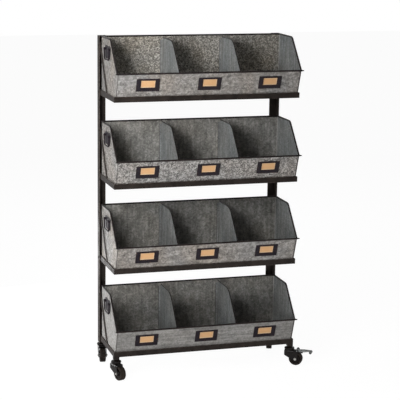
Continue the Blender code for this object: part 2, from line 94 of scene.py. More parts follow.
def placeGroup(tree, group, values):
    return addNode(tree, "ShaderNodeGroup", values, node_tree=group).outputs


def mixColor(tree, mask, first, second, blend="MIX"):
    first, second = (value if isSocket(value) else (*value, 1) for value in (first, second))
    values = {0: mask, 6: first, 7: second}
    return addNode(tree, "ShaderNodeMix", values, data_type="RGBA", blend_type=blend).outputs[2]


def mixValue(tree, share, first, second):
    return addNode(tree, "ShaderNodeMix", {0: share, 2: first, 3: second}, data_type="FLOAT").outputs[0]


def mapRange(tree, value, low, high, toLow=0.0, toHigh=1.0):
    return addNode(tree, "ShaderNodeMapRange", {
        "Value": value, "From Min": low, "From Max": high, "To Min": toLow, "To Max": toHigh,
    }).outputs["Result"]


def calculate(tree, operation, first, second):
    return addNode(tree, "ShaderNodeMath", {0: first, 1: second}, operation=operation).outputs[0]


def noise(tree, coords, scale, detail, rough=0.5):
    return addNode(tree, "ShaderNodeTexNoise", {
        "Vector": coords, "Scale": scale, "Detail": detail, "Roughness": rough,
    }).outputs


twinShift = (31.0, 17.0, 23.0)


def pieceCoords(tree):
    # the piece's own coordinates, shifted by a number of its own so that twins differ
    where = addNode(tree, "ShaderNodeTexCoord").outputs["Object"]
    luck = addNode(tree, "ShaderNodeObjectInfo").outputs["Random"]
    shift = addNode(tree, "ShaderNodeVectorMath", {0: luck, 1: twinShift}, operation="MULTIPLY").outputs[0]
    return addNode(tree, "ShaderNodeVectorMath", {0: where, 1: shift}, operation="ADD").outputs[0]


# noises are (scale, detail, roughness), without the scale where a group takes it as an input
spangleLook = {"warp": (45.0, 2.0), "bend": 0.012, "fine": (420.0, 3.0)}


def makeSpangleGroup():
    # zinc crystals: each cell has its own tone
    tree, enter, leave = newGroup("zincSpangle", {"Scale": 130.0, "Softness": 0.35}, ["Tone"])
    coords = pieceCoords(tree)
    warp = noise(tree, coords, *spangleLook["warp"])["Color"]
    bent = addNode(tree, "ShaderNodeMix", {0: spangleLook["bend"], 4: coords, 5: warp}, data_type="VECTOR")
    cells = addNode(tree, "ShaderNodeTexVoronoi", {"Vector": bent.outputs[1], "Scale": enter["Scale"]})
    tone = addNode(tree, "ShaderNodeSeparateColor", {"Color": cells.outputs["Color"]}).outputs[0]
    fine = noise(tree, coords, *spangleLook["fine"])["Fac"]
    tree.links.new(mixValue(tree, enter["Softness"], tone, fine), leave["Tone"])
    return tree


mottleLook = {
    "cloud": (5.0, 0.62), "streak": (95.0, 3.0), "dent": (26.0, 1.0),
    "warmth": (8.5, 2.0), "warmBand": (0.36, 0.64),
}


def makeMottleGroup():
    # clouds of tone, with streaks along the sheet
    tree, enter, leave = newGroup(
        "slowMottle",
        {"Scale": 14.0, "Streak": 0.3, "Contrast": 0.25, "Stretch": (1.0, 1.0, 0.12)},
        ["Cloud", "Warmth", "Dent"],
    )
    coords = pieceCoords(tree)
    cloud = noise(tree, coords, enter["Scale"], *mottleLook["cloud"])["Fac"]
    drawn = addNode(tree, "ShaderNodeMapping", {"Vector": coords, "Scale": enter["Stretch"]}).outputs[0]
    streak = noise(tree, drawn, *mottleLook["streak"])["Fac"]
    both = mixValue(tree, enter["Streak"], cloud, streak)
    low = calculate(tree, "SUBTRACT", 0.5, enter["Contrast"])
    high = calculate(tree, "ADD", 0.5, enter["Contrast"])
    tree.links.new(mapRange(tree, both, low, high), leave["Cloud"])
    warm = noise(tree, coords, *mottleLook["warmth"])["Fac"]
    tree.links.new(mapRange(tree, warm, *mottleLook["warmBand"]), leave["Warmth"])
    tree.links.new(noise(tree, coords, *mottleLook["dent"])["Fac"], leave["Dent"])
    return tree


wearLook = {"patch": (4.0, 0.65), "band": (0.78, 0.98), "grain": (900.0, 2.0)}


def wornEdge(tree):
    return addNode(tree, "ShaderNodeAttribute", attribute_name="edgeWear").outputs["Fac"]


def makeWearGroup():
    # bare patches along the edges that the mesh marks with its edgeWear values
    tree, enter, leave = newGroup("edgeRub", {"Amount": 0.5, "Scale": 160.0}, ["Rub", "Grain"])
    coords = pieceCoords(tree)
    patch = noise(tree, coords, enter["Scale"], *wearLook["patch"])["Fac"]
    reach = calculate(tree, "MULTIPLY", wornEdge(tree), enter["Amount"])
    tree.links.new(mapRange(tree, calculate(tree, "ADD", patch, reach), *wearLook["band"]), leave["Rub"])
    tree.links.new(noise(tree, coords, *wearLook["grain"])["Fac"], leave["Grain"])
    return tree


spangleGroup = makeSpangleGroup()
mottleGroup = makeMottleGroup()
wearGroup = makeWearGroup()
print("shader groups made")


def newMaterial(name):
    made = bpy.data.materials.new(name)
    made.use_nodes = True
    return made, made.node_tree, made.node_tree.nodes["Principled BSDF"]


def bumpInto(tree, shader, height, distance, strength):
    bump = addNode(tree, "ShaderNodeBump", {"Height": height, "Strength": strength, "Distance": distance})
    tree.links.new(bump.outputs[0], shader.inputs["Normal"])


# galvanised sheet: three tones, and how the crystals and the clouds share them out
sheetSkin = {
    "metallic": 0.05, "specular": 0.15, "toneBand": (0.15, 0.85), "relief": 0.12, "bump": (0.0012, 0.5),
}
sheetFinish = {
    "front": {
        "dark": (0.095, 0.091, 0.087), "mid": (0.250, 0.241, 0.232), "bright": (0.490, 0.480, 0.464),
        "warm": (1.05, 0.98, 0.91), "rough": (0.48, 0.66), "spangle": 190.0, "share": 0.50,
        "mottle": 60.0, "streak": 0.35, "contrast": 0.14, "stretch": (0.12, 1.0, 1.0),
    },
    "speckled": {
        "dark": (0.046, 0.044, 0.042), "mid": (0.232, 0.224, 0.216), "bright": (0.610, 0.597, 0.576),
        "warm": (1.04, 0.98, 0.93), "rough": (0.46, 0.66), "spangle": 240.0, "share": 0.72,
        "mottle": 60.0, "streak": 0.25, "contrast": 0.14, "stretch": (0.12, 1.0, 1.0),
    },
    "brushed": {
        "dark": (0.108, 0.106, 0.102), "mid": (0.246, 0.240, 0.231), "bright": (0.440, 0.432, 0.418),
        "warm": (1.01, 0.99, 0.97), "rough": (0.48, 0.64), "spangle": 210.0, "share": 0.36,
        "mottle": 46.0, "streak": 0.60, "contrast": 0.18, "stretch": (0.09, 1.0, 1.0),
    },
    "back": {
        "dark": (0.080, 0.073, 0.064), "mid": (0.236, 0.225, 0.204), "bright": (0.680, 0.650, 0.594),
        "warm": (1.04, 0.99, 0.92), "rough": (0.42, 0.64), "spangle": 285.0, "share": 0.72,
        "mottle": 90.0, "streak": 0.15, "contrast": 0.16, "stretch": (1.0, 1.0, 0.12),
    },
    "plain": {
        "dark": (0.092, 0.089, 0.083), "mid": (0.222, 0.219, 0.207), "bright": (0.440, 0.430, 0.406),
        "warm": (1.02, 0.99, 0.95), "rough": (0.44, 0.64), "spangle": 200.0, "share": 0.45,
        "mottle": 36.0, "streak": 0.45, "contrast": 0.15, "stretch": (1.0, 1.0, 0.10),
    },
    "smooth": {
        "dark": (0.098, 0.100, 0.098), "mid": (0.236, 0.239, 0.233), "bright": (0.420, 0.429, 0.422),
        "warm": (0.96, 1.00, 1.03), "rough": (0.46, 0.62), "spangle": 210.0, "share": 0.36,
        "mottle": 30.0, "streak": 0.66, "contrast": 0.20, "stretch": (1.0, 1.0, 0.09),
    },
}


def makeSheet(name, finish):
    made, tree, shader = newMaterial(name)
    spangle = placeGroup(tree, spangleGroup, {"Scale": finish["spangle"]})["Tone"]
    mottle = placeGroup(tree, mottleGroup, {
        "Scale": finish["mottle"], "Streak": finish["streak"], "Contrast": finish["contrast"],
        "Stretch": finish["stretch"],
    })
    tone = mixValue(tree, finish["share"], mottle["Cloud"], mapRange(tree, spangle, *sheetSkin["toneBand"]))
    shade = mixColor(tree, mapRange(tree, tone, 0.0, 0.5), finish["dark"], finish["mid"])
    shade = mixColor(tree, mapRange(tree, tone, 0.5, 1.0), shade, finish["bright"])
    bright, dull = finish["rough"]
    feed(tree, shader, {
        "Base Color": mixColor(tree, mottle["Warmth"], shade, finish["warm"], "MULTIPLY"),
        "Roughness": mapRange(tree, spangle, 0.0, 1.0, dull, bright),
        "Metallic": sheetSkin["metallic"], "Specular IOR Level": sheetSkin["specular"],
    })
    crystals = calculate(tree, "MULTIPLY", spangle, sheetSkin["relief"])
    bumpInto(tree, shader, calculate(tree, "ADD", crystals, mottle["Dent"]), *sheetSkin["bump"])
    return made


# dark paint, rubbed to a barer tone along worn edges
paintSkin = {"mottle": {"Scale": 34.0, "Streak": 0.15, "Contrast": 0.24}, "bump": (0.00012, 0.35)}
paintFinish = {
    "frame": {
        "deep": (0.013, 0.011, 0.010), "brown": (0.039, 0.031, 0.027), "bare": (0.120, 0.095, 0.082),
        "metallic": 0.05, "specular": 0.035, "rough": (0.34, 0.56), "amount": 0.40,
    },
    "holder": {
        "deep": (0.010, 0.009, 0.013), "brown": (0.026, 0.020, 0.024), "bare": (0.110, 0.062, 0.042),
        "metallic": 0.05, "specular": 0.07, "rough": (0.34, 0.55), "amount": 0.46,
    },
    "rust": {
        "deep": (0.012, 0.006, 0.004), "brown": (0.062, 0.028, 0.015), "bare": (0.110, 0.060, 0.040),
        "metallic": 0.05, "specular": 0.06, "rough": (0.42, 0.62), "amount": 0.30,
    },
    "rolledEdge": {
        "deep": (0.008, 0.007, 0.007), "brown": (0.026, 0.019, 0.018), "bare": (0.130, 0.118, 0.110),
        "metallic": 0.05, "specular": 0.10, "rough": (0.34, 0.56), "amount": 0.10,
    },
    "caster": {
        "deep": (0.003, 0.003, 0.003), "brown": (0.013, 0.009, 0.008), "bare": (0.090, 0.082, 0.076),
        "metallic": 0.0, "specular": 0.15, "rough": (0.12, 0.28), "amount": 0.28,
    },
}


def makePaint(name, finish):
    made, tree, shader = newMaterial(name)
    cloud = placeGroup(tree, mottleGroup, paintSkin["mottle"])["Cloud"]
    wear = placeGroup(tree, wearGroup, {"Amount": finish["amount"]})
    skin = mixColor(tree, cloud, finish["deep"], finish["brown"])
    feed(tree, shader, {
        "Base Color": mixColor(tree, wear["Rub"], skin, finish["bare"]),
        "Roughness": mapRange(tree, cloud, 0.0, 1.0, *finish["rough"]),
        "Metallic": finish["metallic"], "Specular IOR Level": finish["specular"],
    })
    bumpInto(tree, shader, wear["Grain"], *paintSkin["bump"])
    return made


cardFinish = {
    "pale": (0.750, 0.500, 0.290), "deep": (0.680, 0.380, 0.170), "edge": (0.830, 0.660, 0.490),
    "mottle": {"Scale": 40.0, "Streak": 0.1, "Contrast": 0.3}, "stretch": (0.35, 1.0, 1.0),
    "fibre": (950.0, 4.0), "fibreBand": (0.3, 0.7), "fadeBand": (0.25, 0.6),
    "rough": (0.75, 0.92), "bump": (0.00015, 0.4),
}


def makeCard():
    made, tree, shader = newMaterial("kraftCard")
    finish = cardFinish
    drawn = addNode(tree, "ShaderNodeMapping", {"Vector": pieceCoords(tree), "Scale": finish["stretch"]})
    fibre = noise(tree, drawn.outputs[0], *finish["fibre"])["Fac"]
    cloud = placeGroup(tree, mottleGroup, finish["mottle"])["Cloud"]
    tone = calculate(tree, "MULTIPLY", mapRange(tree, fibre, *finish["fibreBand"]), cloud)
    body = mixColor(tree, tone, finish["deep"], finish["pale"])
    faded = calculate(tree, "MULTIPLY", wornEdge(tree), mapRange(tree, fibre, *finish["fadeBand"]))
    feed(tree, shader, {
        "Base Color": mixColor(tree, faded, body, finish["edge"]),
        "Roughness": mapRange(tree, fibre, 0.0, 1.0, *finish["rough"]),
    })
    bumpInto(tree, shader, fibre, *finish["bump"])
    return made


# rubber and bare metal: a fine grain under slow clouds, with the same value all over in "fixed"
rubberSkin = {
    "mottle": {"Scale": 60.0, "Streak": 0.2, "Contrast": 0.26},
    "band": (0.3, 0.7, 0.4, 1.0), "bump": (0.0002, 0.4),
}
zincSkin = {
    "mottle": {"Scale": 70.0, "Streak": 0.2, "Contrast": 0.24},
    "band": (0.2, 0.7, 0.6, 1.0), "bump": (0.0001, 0.35),
}
grainFinish = {
    "tread": {
        **rubberSkin, "deep": (0.009, 0.008, 0.007), "pale": (0.066, 0.052, 0.043), "rough": (0.42, 0.66),
        "fixed": {"Specular IOR Level": 0.04},
    },
    "core": {
        **rubberSkin, "deep": (0.004, 0.003, 0.003), "pale": (0.018, 0.013, 0.011), "rough": (0.16, 0.34),
        "fixed": {"Specular IOR Level": 0.07},
    },
    "plate": {
        **zincSkin, "deep": (0.190, 0.180, 0.165), "pale": (0.430, 0.425, 0.410), "rough": (0.52, 0.28),
        "fixed": {"Metallic": 0.9},
    },
    # solder: tin's own pale tone, raised further as a painted glint along the seams
    "solder": {
        **zincSkin, "deep": (0.230, 0.225, 0.215), "pale": (0.640, 0.632, 0.610), "rough": (0.42, 0.24),
        "fixed": {"Metallic": 0.3},
    },
}


def makeGrained(name, finish):
    made, tree, shader = newMaterial(name)
    cloud = placeGroup(tree, mottleGroup, finish["mottle"])["Cloud"]
    grain = placeGroup(tree, wearGroup, {})["Grain"]
    tone = calculate(tree, "MULTIPLY", cloud, mapRange(tree, grain, *finish["band"]))
    feed(tree, shader, {
        "Base Color": mixColor(tree, tone, finish["deep"], finish["pale"]),
        "Roughness": mapRange(tree, cloud, 0.0, 1.0, *finish["rough"]), **finish["fixed"],
    })
    bumpInto(tree, shader, grain, *finish["bump"])
    return made


frontSheet = makeSheet("galvanisedFront", sheetFinish["front"])
speckledFront = makeSheet("galvanisedSpeckled", sheetFinish["speckled"])
brushedFront = makeSheet("galvanisedBrushed", sheetFinish["brushed"])
backSheet = makeSheet("galvanisedBack", sheetFinish["back"])
plainSheet = makeSheet("galvanisedPlain", sheetFinish["plain"])
smoothSheet = makeSheet("galvanisedSmooth", sheetFinish["smooth"])
rolledEdge = makePaint("darkRolledEdge", paintFinish["rolledEdge"])
framePaint = makePaint("bronzeBlackFrame", paintFinish["frame"])
holderSteel = makePaint("charcoalSteel", paintFinish["holder"])
rustLip = makePaint("rustBrownLip", paintFinish["rust"])
casterBlack = makePaint("glossBlackCaster", paintFinish["caster"])
kraftCard = makeCard()
treadRubber = makeGrained("dustyTread", grainFinish["tread"])
coreRubber = makeGrained("wheelCore", grainFinish["core"])
zincPlate = makeGrained("zincPlate", grainFinish["plate"])
solderTinWithGlint = makeGrained("solderTinWithGlint", grainFinish["solder"])
print("materials made")


# mesh helpers

def loft(bm, rings, mat=0, closed=False, caps=True, wear=None, mats=None):
    # rings of points joined into one skin; wear gives each point of a ring its edge value
    layer = bm.verts.layers.float.get("edgeWear") or bm.verts.layers.float.new("edgeWear")
    rows = []
    for ring in rings:
        row = [bm.verts.new(point) for point in ring]
        for k, vert in enumerate(row):
            vert[layer] = wear[k] if wear else 0.0
        rows.append(row)
    count = len(rows[0])
    for i in range(len(rows) if closed else len(rows) - 1):
        near, far = rows[i], rows[(i + 1) % len(rows)]
        for k in range(count):
            n = (k + 1) % count
            face = bm.faces.new((near[k], near[n], far[n], far[k]))
            face.material_index = mats[k] if mats else mat
    if caps and not closed:
        for row in (rows[0], rows[-1]):
            bm.faces.new(row).material_index = mat
    return rows


def polar(centre, radius, angle):
    return centre[0] + radius * math.cos(angle), centre[1] + radius * math.sin(angle)


def arcPoints(centre, radius, start, end, steps):
    turns = [math.radians(start + (end - start) * k / steps) for k in range(steps + 1)]
    return [polar(centre, radius, angle) for angle in turns]


def roundCorners(points, radii, steps):
    # arcs in place of the corners that radii names
    result = []
    for i, corner in enumerate(points):
        if not radii.get(i):
            result.append(Vector(corner))
            continue
        here = Vector(corner)
        before = (Vector(points[i - 1]) - here).normalized()
        after = (Vector(points[(i + 1) % len(points)]) - here).normalized()
        half = before.angle(after) / 2
        middle = here + (before + after).normalized() * (radii[i] / math.sin(half))
        start = here + before * (radii[i] / math.tan(half)) - middle
        swing = start.angle_signed(here + after * (radii[i] / math.tan(half)) - middle)
        for k in range(steps + 1):
            result.append(middle + Matrix.Rotation(-swing * k / steps, 2) @ start)
    return result


softCorner = {"steps": 3, "fade": 0.46}  # fade: the most of an edge that its wear may take


def softOutline(points, radius, band):
    # outline with rounded corners, and a line on both sides of each where its edge wear fades out
    outline, wear = [], []
    count = len(points)
    area = sum(points[i - 1][0] * points[i][1] - points[i][0] * points[i - 1][1] for i in range(count))
    for i, corner in enumerate(points):
        here = Vector(corner)
        before = Vector(points[i - 1]) - here
        after = Vector(points[(i + 1) % count]) - here
        bulge = -before.cross(after) * area > 0
        run = radius / math.tan(before.angle(after) / 2)
        fade = min(run + band, softCorner["fade"] * min(before.length, after.length))
        arc = roundCorners([here + before, here, here + after], {1: radius}, softCorner["steps"])[1:-1]
        outline += [here + before.normalized() * fade, *arc, here + after.normalized() * fade]
        wear += [0.0] + [1.0 if bulge else 0.0] * len(arc) + [0.0]
    return outline, wear


def boxCorners(low, high):
    return [(low[0], low[1]), (high[0], low[1]), (high[0], high[1]), (low[0], high[1])]


def addBlock(bm, low, high, bevel, mat=0):
    outline, wear = softOutline(boxCorners(low, high), bevel, bevel)
    loft(bm, [[(x, y, z) for x, y in outline] for z in (low[2], high[2])], mat, wear=wear)


standing = Matrix.Identity(4)
lyingAcross = Matrix.Rotation(math.radians(90), 4, "X")  # lays a turned shape along Y
facingRight = Matrix.Rotation(math.radians(90), 4, "Y")
axisGap = 0.00005  # a solid of revolution stops this short of its axis


def addTurned(bm, profile, steps, place, mat=0):
    # a closed profile of (radius, height) spun about Z into a ring, then placed
    turns = [math.tau * (k + 0.5) / steps for k in range(steps)]
    rings = [[place @ Vector((r * math.cos(a), r * math.sin(a), h)) for r, h in profile] for a in turns]
    loft(bm, rings, mat, closed=True)


def addSpun(bm, profile, steps, place, mat=0):
    # a solid of revolution about Z, then placed
    turns = [math.tau * k / steps for k in range(steps)]
    rings = []
    for radius, height in profile:
        r = max(radius, axisGap)
        rings.append([place @ Vector((r * math.cos(a), r * math.sin(a), height)) for a in turns])
    loft(bm, rings, mat)


samePoint = 1e-7


def addTube(bm, path, radius, facets, mat=0, closed=False, wear=0.0):
    # round bar along a path, mitred where it turns; radius is one number or one for each point
    points = [Vector(point) for point in path]
    count = len(points)
    widths = radius if isinstance(radius, list) else [radius] * count
    along = (points[1] - points[0]).normalized()
    side = along.orthogonal().normalized()
    rings = []
    for i, point in enumerate(points):
        if closed:
            back = (point - points[i - 1]).normalized()
            ahead = (points[(i + 1) % count] - point).normalized()
            side = side if i else back.orthogonal().normalized()
        else:
            back = along
            ahead = (points[min(i + 1, count - 1)] - points[min(i, count - 2)]).normalized()
        mitre = (back + ahead).normalized()
        ring = []
        for k in range(facets):
            offset = Matrix.Rotation(math.tau * (k + 0.5) / facets, 3, back) @ side * widths[i]
            offset -= back * (offset.dot(mitre) / back.dot(mitre))
            ring.append(point + offset)
        rings.append(ring)
        side = back.rotation_difference(ahead) @ side
        along = ahead
    if closed:
        # the first ring comes round again, turned to match the last
        first, last = rings[0], rings[-1]
        flow = points[0] - points[-1]
        best = min(range(facets), key=lambda shift: sum(
            (first[(k + shift) % facets] - last[k] - flow).length for k in range(facets)))
        rings.append([first[(k + best) % facets] for k in range(facets)])
    rows = loft(bm, rings, mat, caps=not closed, wear=[wear] * facets)
    if closed:
        bmesh.ops.remove_doubles(bm, verts=rows[0] + rows[-1], dist=samePoint)


domeSteps = ((0.25, 1.0), (0.62, 0.86), (0.9, 0.55), (1.0, 0.18))  # shares of the height and the radius


def addDome(bm, place, radius, height, sink, facets=16, mat=0):
    # rivet or screw head on the plane z = 0 of its own frame
    profile = [(radius, -sink)] + [(radius * wide, height * up) for up, wide in domeSteps]
    addSpun(bm, profile, facets, place, mat)


weldBead = {"ripples": 7, "steps": 21, "facets": 8, "tip": 0.35, "swell": 4, "ripple": 0.14, "wear": 0.25}


def addBead(bm, start, end, radius):
    # weld bead: a lumpy run that tapers at both ends
    start, end = Vector(start), Vector(end)
    path, widths = [], []
    for k in range(weldBead["steps"] + 1):
        t = k / weldBead["steps"]
        path.append(start.lerp(end, t))
        taper = min(1.0, weldBead["tip"] + weldBead["swell"] * min(t, 1 - t))
        lump = 1 + weldBead["ripple"] * math.sin(math.tau * weldBead["ripples"] * t)
        widths.append(radius * taper * lump)
    addTube(bm, path, widths, weldBead["facets"], wear=weldBead["wear"])


def finishMesh(name, bm, materials, sharpAngle=34):
    bmesh.ops.recalc_face_normals(bm, faces=bm.faces)
    mesh = bpy.data.meshes.new(name)
    bm.to_mesh(mesh)
    bm.free()
    for material in materials:
        mesh.materials.append(material)
    mesh.shade_smooth()
    mesh.set_sharp_from_angle(angle=math.radians(sharpAngle))
    return mesh


def placePiece(name, mesh, body, location=(0, 0, 0), turn=(0, 0, 0), nodes=()):
    piece = bpy.data.objects.new(name, mesh)
    bpy.context.scene.collection.objects.link(piece)
    piece.location = location
    piece.rotation_euler = turn
    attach(piece, body)
    if nodes:
        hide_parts(*nodes)


# angle-iron frame

shelfIron = {
    "leg": 0.020, "wall": 0.003, "corner": 0.0008, "band": 0.0014, "tailLap": 0.001,
    "bead": 0.0016, "beadLevel": 0.0028, "beadRun": (0.004, 0.019),  # along the mitres
}
brace = {
    "width": 0.012, "wall": 0.0024, "corner": 0.0005, "band": 0.0012, "reach": 0.099, "drop": 0.039,
    "lap": 0.018, "sink": 0.0015, "bead": 0.0011,
    "bevel": 0.98,  # 1 cuts the foot level with the rail
}
socket = {"size": 0.020, "drop": 0.0095, "hole": 0.0054, "steps": 32, "lap": 0.001, "beadDrop": 0.0004}
uprightIron = {"leg": 0.030, "wall": 0.003, "corner": 0.0009, "band": 0.0018}
uprightX = cart["halfWidth"] + cart["gap"] + uprightIron["wall"]  # outer face


def angleOutline(iron):
    leg, wall = iron["leg"], iron["wall"]
    points = [(0, 0), (leg, 0), (leg, wall), (wall, wall), (wall, leg), (0, leg)]
    return softOutline(points, iron["corner"], iron["band"])


def addSocket(bm, x, y, low, high):
    # square post with the stem's hole
    half, hole = socket["size"] / 2, socket["hole"]
    square, circle = [], []
    for k in range(socket["steps"]):
        angle = math.tau * k / socket["steps"]
        reach = half / max(abs(math.cos(angle)), abs(math.sin(angle)))
        square.append(polar((x, y), reach, angle))
        circle.append(polar((x, y), hole, angle))
    levels = ((circle, low), (square, low), (square, high), (circle, high))
    loft(bm, [[(*point, z) for point in ring] for ring, z in levels], closed=True)


def addBrace(bm, sx):
    edge = cart["rearY"] - uprightIron["leg"]
    lip = shelfIron["leg"]
    head = Vector((edge, lip + cart["binRise"] - brace["drop"]))
    foot = Vector((edge - brace["reach"], lip))
    along = (head - foot).normalized()
    across = Vector((-along.y, along.x))
    head = head + along * brace["lap"]
    reach, halfWall = brace["width"] / 2, brace["wall"] / 2
    run = reach * abs(along.x / along.y)
    middle = sx * (cart["halfWidth"] - shelfIron["wall"] / 2)
    corners = boxCorners((-reach, -halfWall), (reach, halfWall))
    outline, wear = softOutline(corners, brace["corner"], brace["band"])
    rings = []
    for end, bevel in ((foot - along * brace["sink"], brace["bevel"]), (head, 0)):
        points = [(v, end + across * u - along * (u / reach) * run * bevel) for u, v in outline]
        rings.append([(middle + v, at.x, at.y) for v, at in points])
    loft(bm, rings, wear=wear)
    spread = reach / abs(along.y)
    for x in (middle - halfWall, middle + halfWall):
        addBead(bm, (x, foot.x - spread, lip), (x, foot.x + spread, lip), brace["bead"])


def makeShelfMesh(isBottom):
    bm = bmesh.new()
    half, front, back = cart["halfWidth"], cart["frontY"], cart["backRailY"]
    outline, wear = angleOutline(shelfIron)
    corners = ((-1, front, 1), (1, front, 1), (1, back, -1), (-1, back, -1))
    rings = [[(sx * (half - u), y + inward * u, v) for u, v in outline] for sx, y, inward in corners]
    loft(bm, rings, closed=True, wear=wear)
    tail = (back - shelfIron["tailLap"], cart["rearY"] - uprightIron["wall"] - cart["gap"])
    for sx in (-1, 1):
        loft(bm, [[(sx * (half - u), y, v) for u, v in outline] for y in tail], wear=wear)
        addBrace(bm, sx)
        for y, inward in ((front, 1), (back, -1)):
            ends = [(sx * (half - d), y + inward * d, shelfIron["beadLevel"]) for d in shelfIron["beadRun"]]
            addBead(bm, *ends, shelfIron["bead"])
    if isBottom:
        reach, z = socket["size"] / 2, -socket["beadDrop"]
        for sx in (-1, 1):
            x, y = sx * (half - reach), front + reach
            addSocket(bm, x, y, -socket["drop"], socket["lap"])
            inner = x - sx * reach
            addBead(bm, (x - reach, y + reach, z), (x + reach, y + reach, z), shelfIron["bead"])
            addBead(bm, (inner, y - reach, z), (inner, y + reach, z), shelfIron["bead"])
    return finishMesh("shelfIronBottom" if isBottom else "shelfIron", bm, [framePaint])


def makeUprightMesh(sx):
    bm = bmesh.new()
    low, high = (corner.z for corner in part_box("upright_left"))
    outline, wear = angleOutline(uprightIron)
    rings = [[(sx * (uprightX - u), cart["rearY"] - v, z) for u, v in outline] for z in (low, high)]
    loft(bm, rings, wear=wear)
    half = socket["size"] / 2
    x = sx * (uprightX - uprightIron["wall"] - half)
    y = cart["rearY"] - uprightIron["wall"] - half
    top = lipZ["bottom"] - shelfIron["leg"] - cart["gap"]
    addSocket(bm, x, y, low, top)
    for beadX, beadY in ((x - sx * half, y + half), (x + sx * half, y - half)):
        addBead(bm, (beadX, beadY, low + socket["lap"]), (beadX, beadY, top), shelfIron["bead"])
    return finishMesh("uprightIron", bm, [framePaint])


screwHead = {
    "radius": 0.0042, "height": 0.0018, "sink": 0.0003,
    "railIn": 0.012, "railUp": 0.010, "braceIn": 0.005, "braceUp": 0.160,
}


def makeScrewMesh():
    # button heads on the uprights' outer faces: one at each shelf rail and one at each brace head
    bm = bmesh.new()
    size = screwHead
    railY = cart["rearY"] - size["railIn"]
    braceY = cart["rearY"] - uprightIron["leg"] + size["braceIn"]
    for tier in tiers:
        shelf = lipZ[tier] - shelfIron["leg"]
        places = ((railY, shelf + size["railUp"]), (braceY, shelf + shelfIron["leg"] + size["braceUp"]))
        for sx in (-1, 1):
            face = Matrix.Rotation(math.radians(90 * sx), 4, "Y")
            for y, z in places:
                place = Matrix.Translation((sx * uprightX, y, z)) @ face
                addDome(bm, place, size["radius"], size["height"], size["sink"])
    return finishMesh("uprightScrews", bm, [framePaint])


def buildFrame():
    plain, bottom = makeShelfMesh(False), makeShelfMesh(True)
    for tier in tiers:
        placePiece(f"shelfIron_{tier}", bottom if tier == "bottom" else plain, "frame",
                   (0, 0, lipZ[tier] - shelfIron["leg"]), nodes=[f"shelf_frame_{tier}"])
    for end, sx in sides.items():
        placePiece(f"uprightIron_{end}", makeUprightMesh(sx), "frame",
                   nodes=[f"upright_{end}"])
    placePiece("uprightScrews", makeScrewMesh(), "frame")


buildFrame()
print("frame built")


# bins

binSheet = {
    "halfWidth": 0.3405, "backY": 0.0875, "lipY": -0.1215, "wall": 0.0012, "frontRise": 0.0827,
    "frontLean": 0.0305, "levelTop": 0.1355, "knee": 0.025, "kneeSteps": 12, "bend": 0.0035, "bendSteps": 5,
    "flange": 0.009, "flangeWall": 0.0009, "flangeLap": 0.0002, "flangeFoot": 0.006, "flangeTop": 0.004,
    "flangeEdge": 0.0004, "flangeWeld": 0.028,
    "fold": 0.0015, "foldBack": 0.8,  # behind the front, in folds
    "seam": 0.0009, "seamPlace": (2.6, 0.5),  # in from the end in folds, behind the front in seams
    "solder": 0.0016, "solderPlace": (0.6, 0.4),  # from the end and from the flange, in solders
    "solderFoot": 0.02, "solderTop": 0.006,
    "rim": 0.0030, "rimDrop": 0.0008, "rimWear": 0.4, "tipRoot": 0.002, "tips": {-1: 0.0055, 1: 0.0085},
    # steps of a tip: out in tips, forward, up, and thickness in rims
    "tipSteps": ((0, 0, 0, 0.98), (0.6, -0.0005, 0, 0.95), (1.4, -0.001, 0.0002, 0.55)),
}
roundFacets = {"rim": 14, "tip": 12, "hem": 12, "fold": 12, "solder": 10, "seam": 8}
binSlots = {"front": 0, "back": 1, "rim": 2, "inside": 3, "zinc": 4, "solder": 5}
dividerSheet = {
    "offset": 0.1131, "wall": 0.0012, "drop": 0.008, "knee": 0.060, "kneeSteps": 16,
    "hem": 0.0018, "hemEnd": 0.06, "foot": 0.012, "footWeld": 0.03, "footPitch": 0.045,
    "flange": 0.009, "flangeWall": 0.0009, "flangeFoot": 0.008, "flangeTop": 0.016, "flangeWeld": 0.030,
    "solder": 0.0011, "solderPlace": (0.5, 0.4),  # from the sheet and from the flange, in solders
    "solderFoot": 0.02, "solderTop": 0.020, "line": 0.0007, "lineOut": 0.0003,
}
dividerSlots = {"sheet": 0, "zinc": 1, "hem": 2}
weldSpot = {"radius": 0.0024, "height": 0.00035, "sink": 0.0002, "facets": 12, "count": 4, "pitch": 0.044}
lean = binSheet["frontLean"] / binSheet["frontRise"]
leanAngle = math.atan(lean)
leanStretch = math.hypot(1, lean)
binFloor = -cart["binDrop"]


def binFront(z):
    return binSheet["lipY"] - lean * z


def endOutline(inset, wallInset, knee, steps):
    # an end panel, or a divider inside it: floor, back, level top, knee, slope and nose
    size = binSheet
    top, kneeY = cart["binRise"] - inset, size["backY"] - size["levelTop"]
    slope = Vector((binFront(size["frontRise"]) - kneeY, size["frontRise"] - cart["binRise"])).normalized()
    corner = Vector((kneeY, cart["binRise"]))
    down = Vector((-slope.y, slope.x)) * inset
    corner = corner + down + slope * ((top - corner.y - down.y) / slope.y)
    wall = wallInset * leanStretch
    reach = (binFront(corner.y) + wall - corner.x) / (slope.x + lean * slope.y)
    nose = corner + slope * reach
    floor, back = wallInset - cart["binDrop"], size["backY"] - wallInset
    points = [(binFront(floor) + wall, floor), (back, floor), (back, top), corner, nose]
    return roundCorners(points, {3: knee}, steps)


def spotRow(start, pitch):
    return [start + pitch * k for k in range(weldSpot["count"])]


def addWeldSpots(bm, places, toward, mat):
    # shallow round marks left by a spot welder
    size = weldSpot
    face = Vector((0, 0, 1)).rotation_difference(Vector(toward)).to_matrix().to_4x4()
    for place in places:
        spot = Matrix.Translation(place) @ face
        addDome(bm, spot, size["radius"], size["height"], size["sink"], size["facets"], mat)


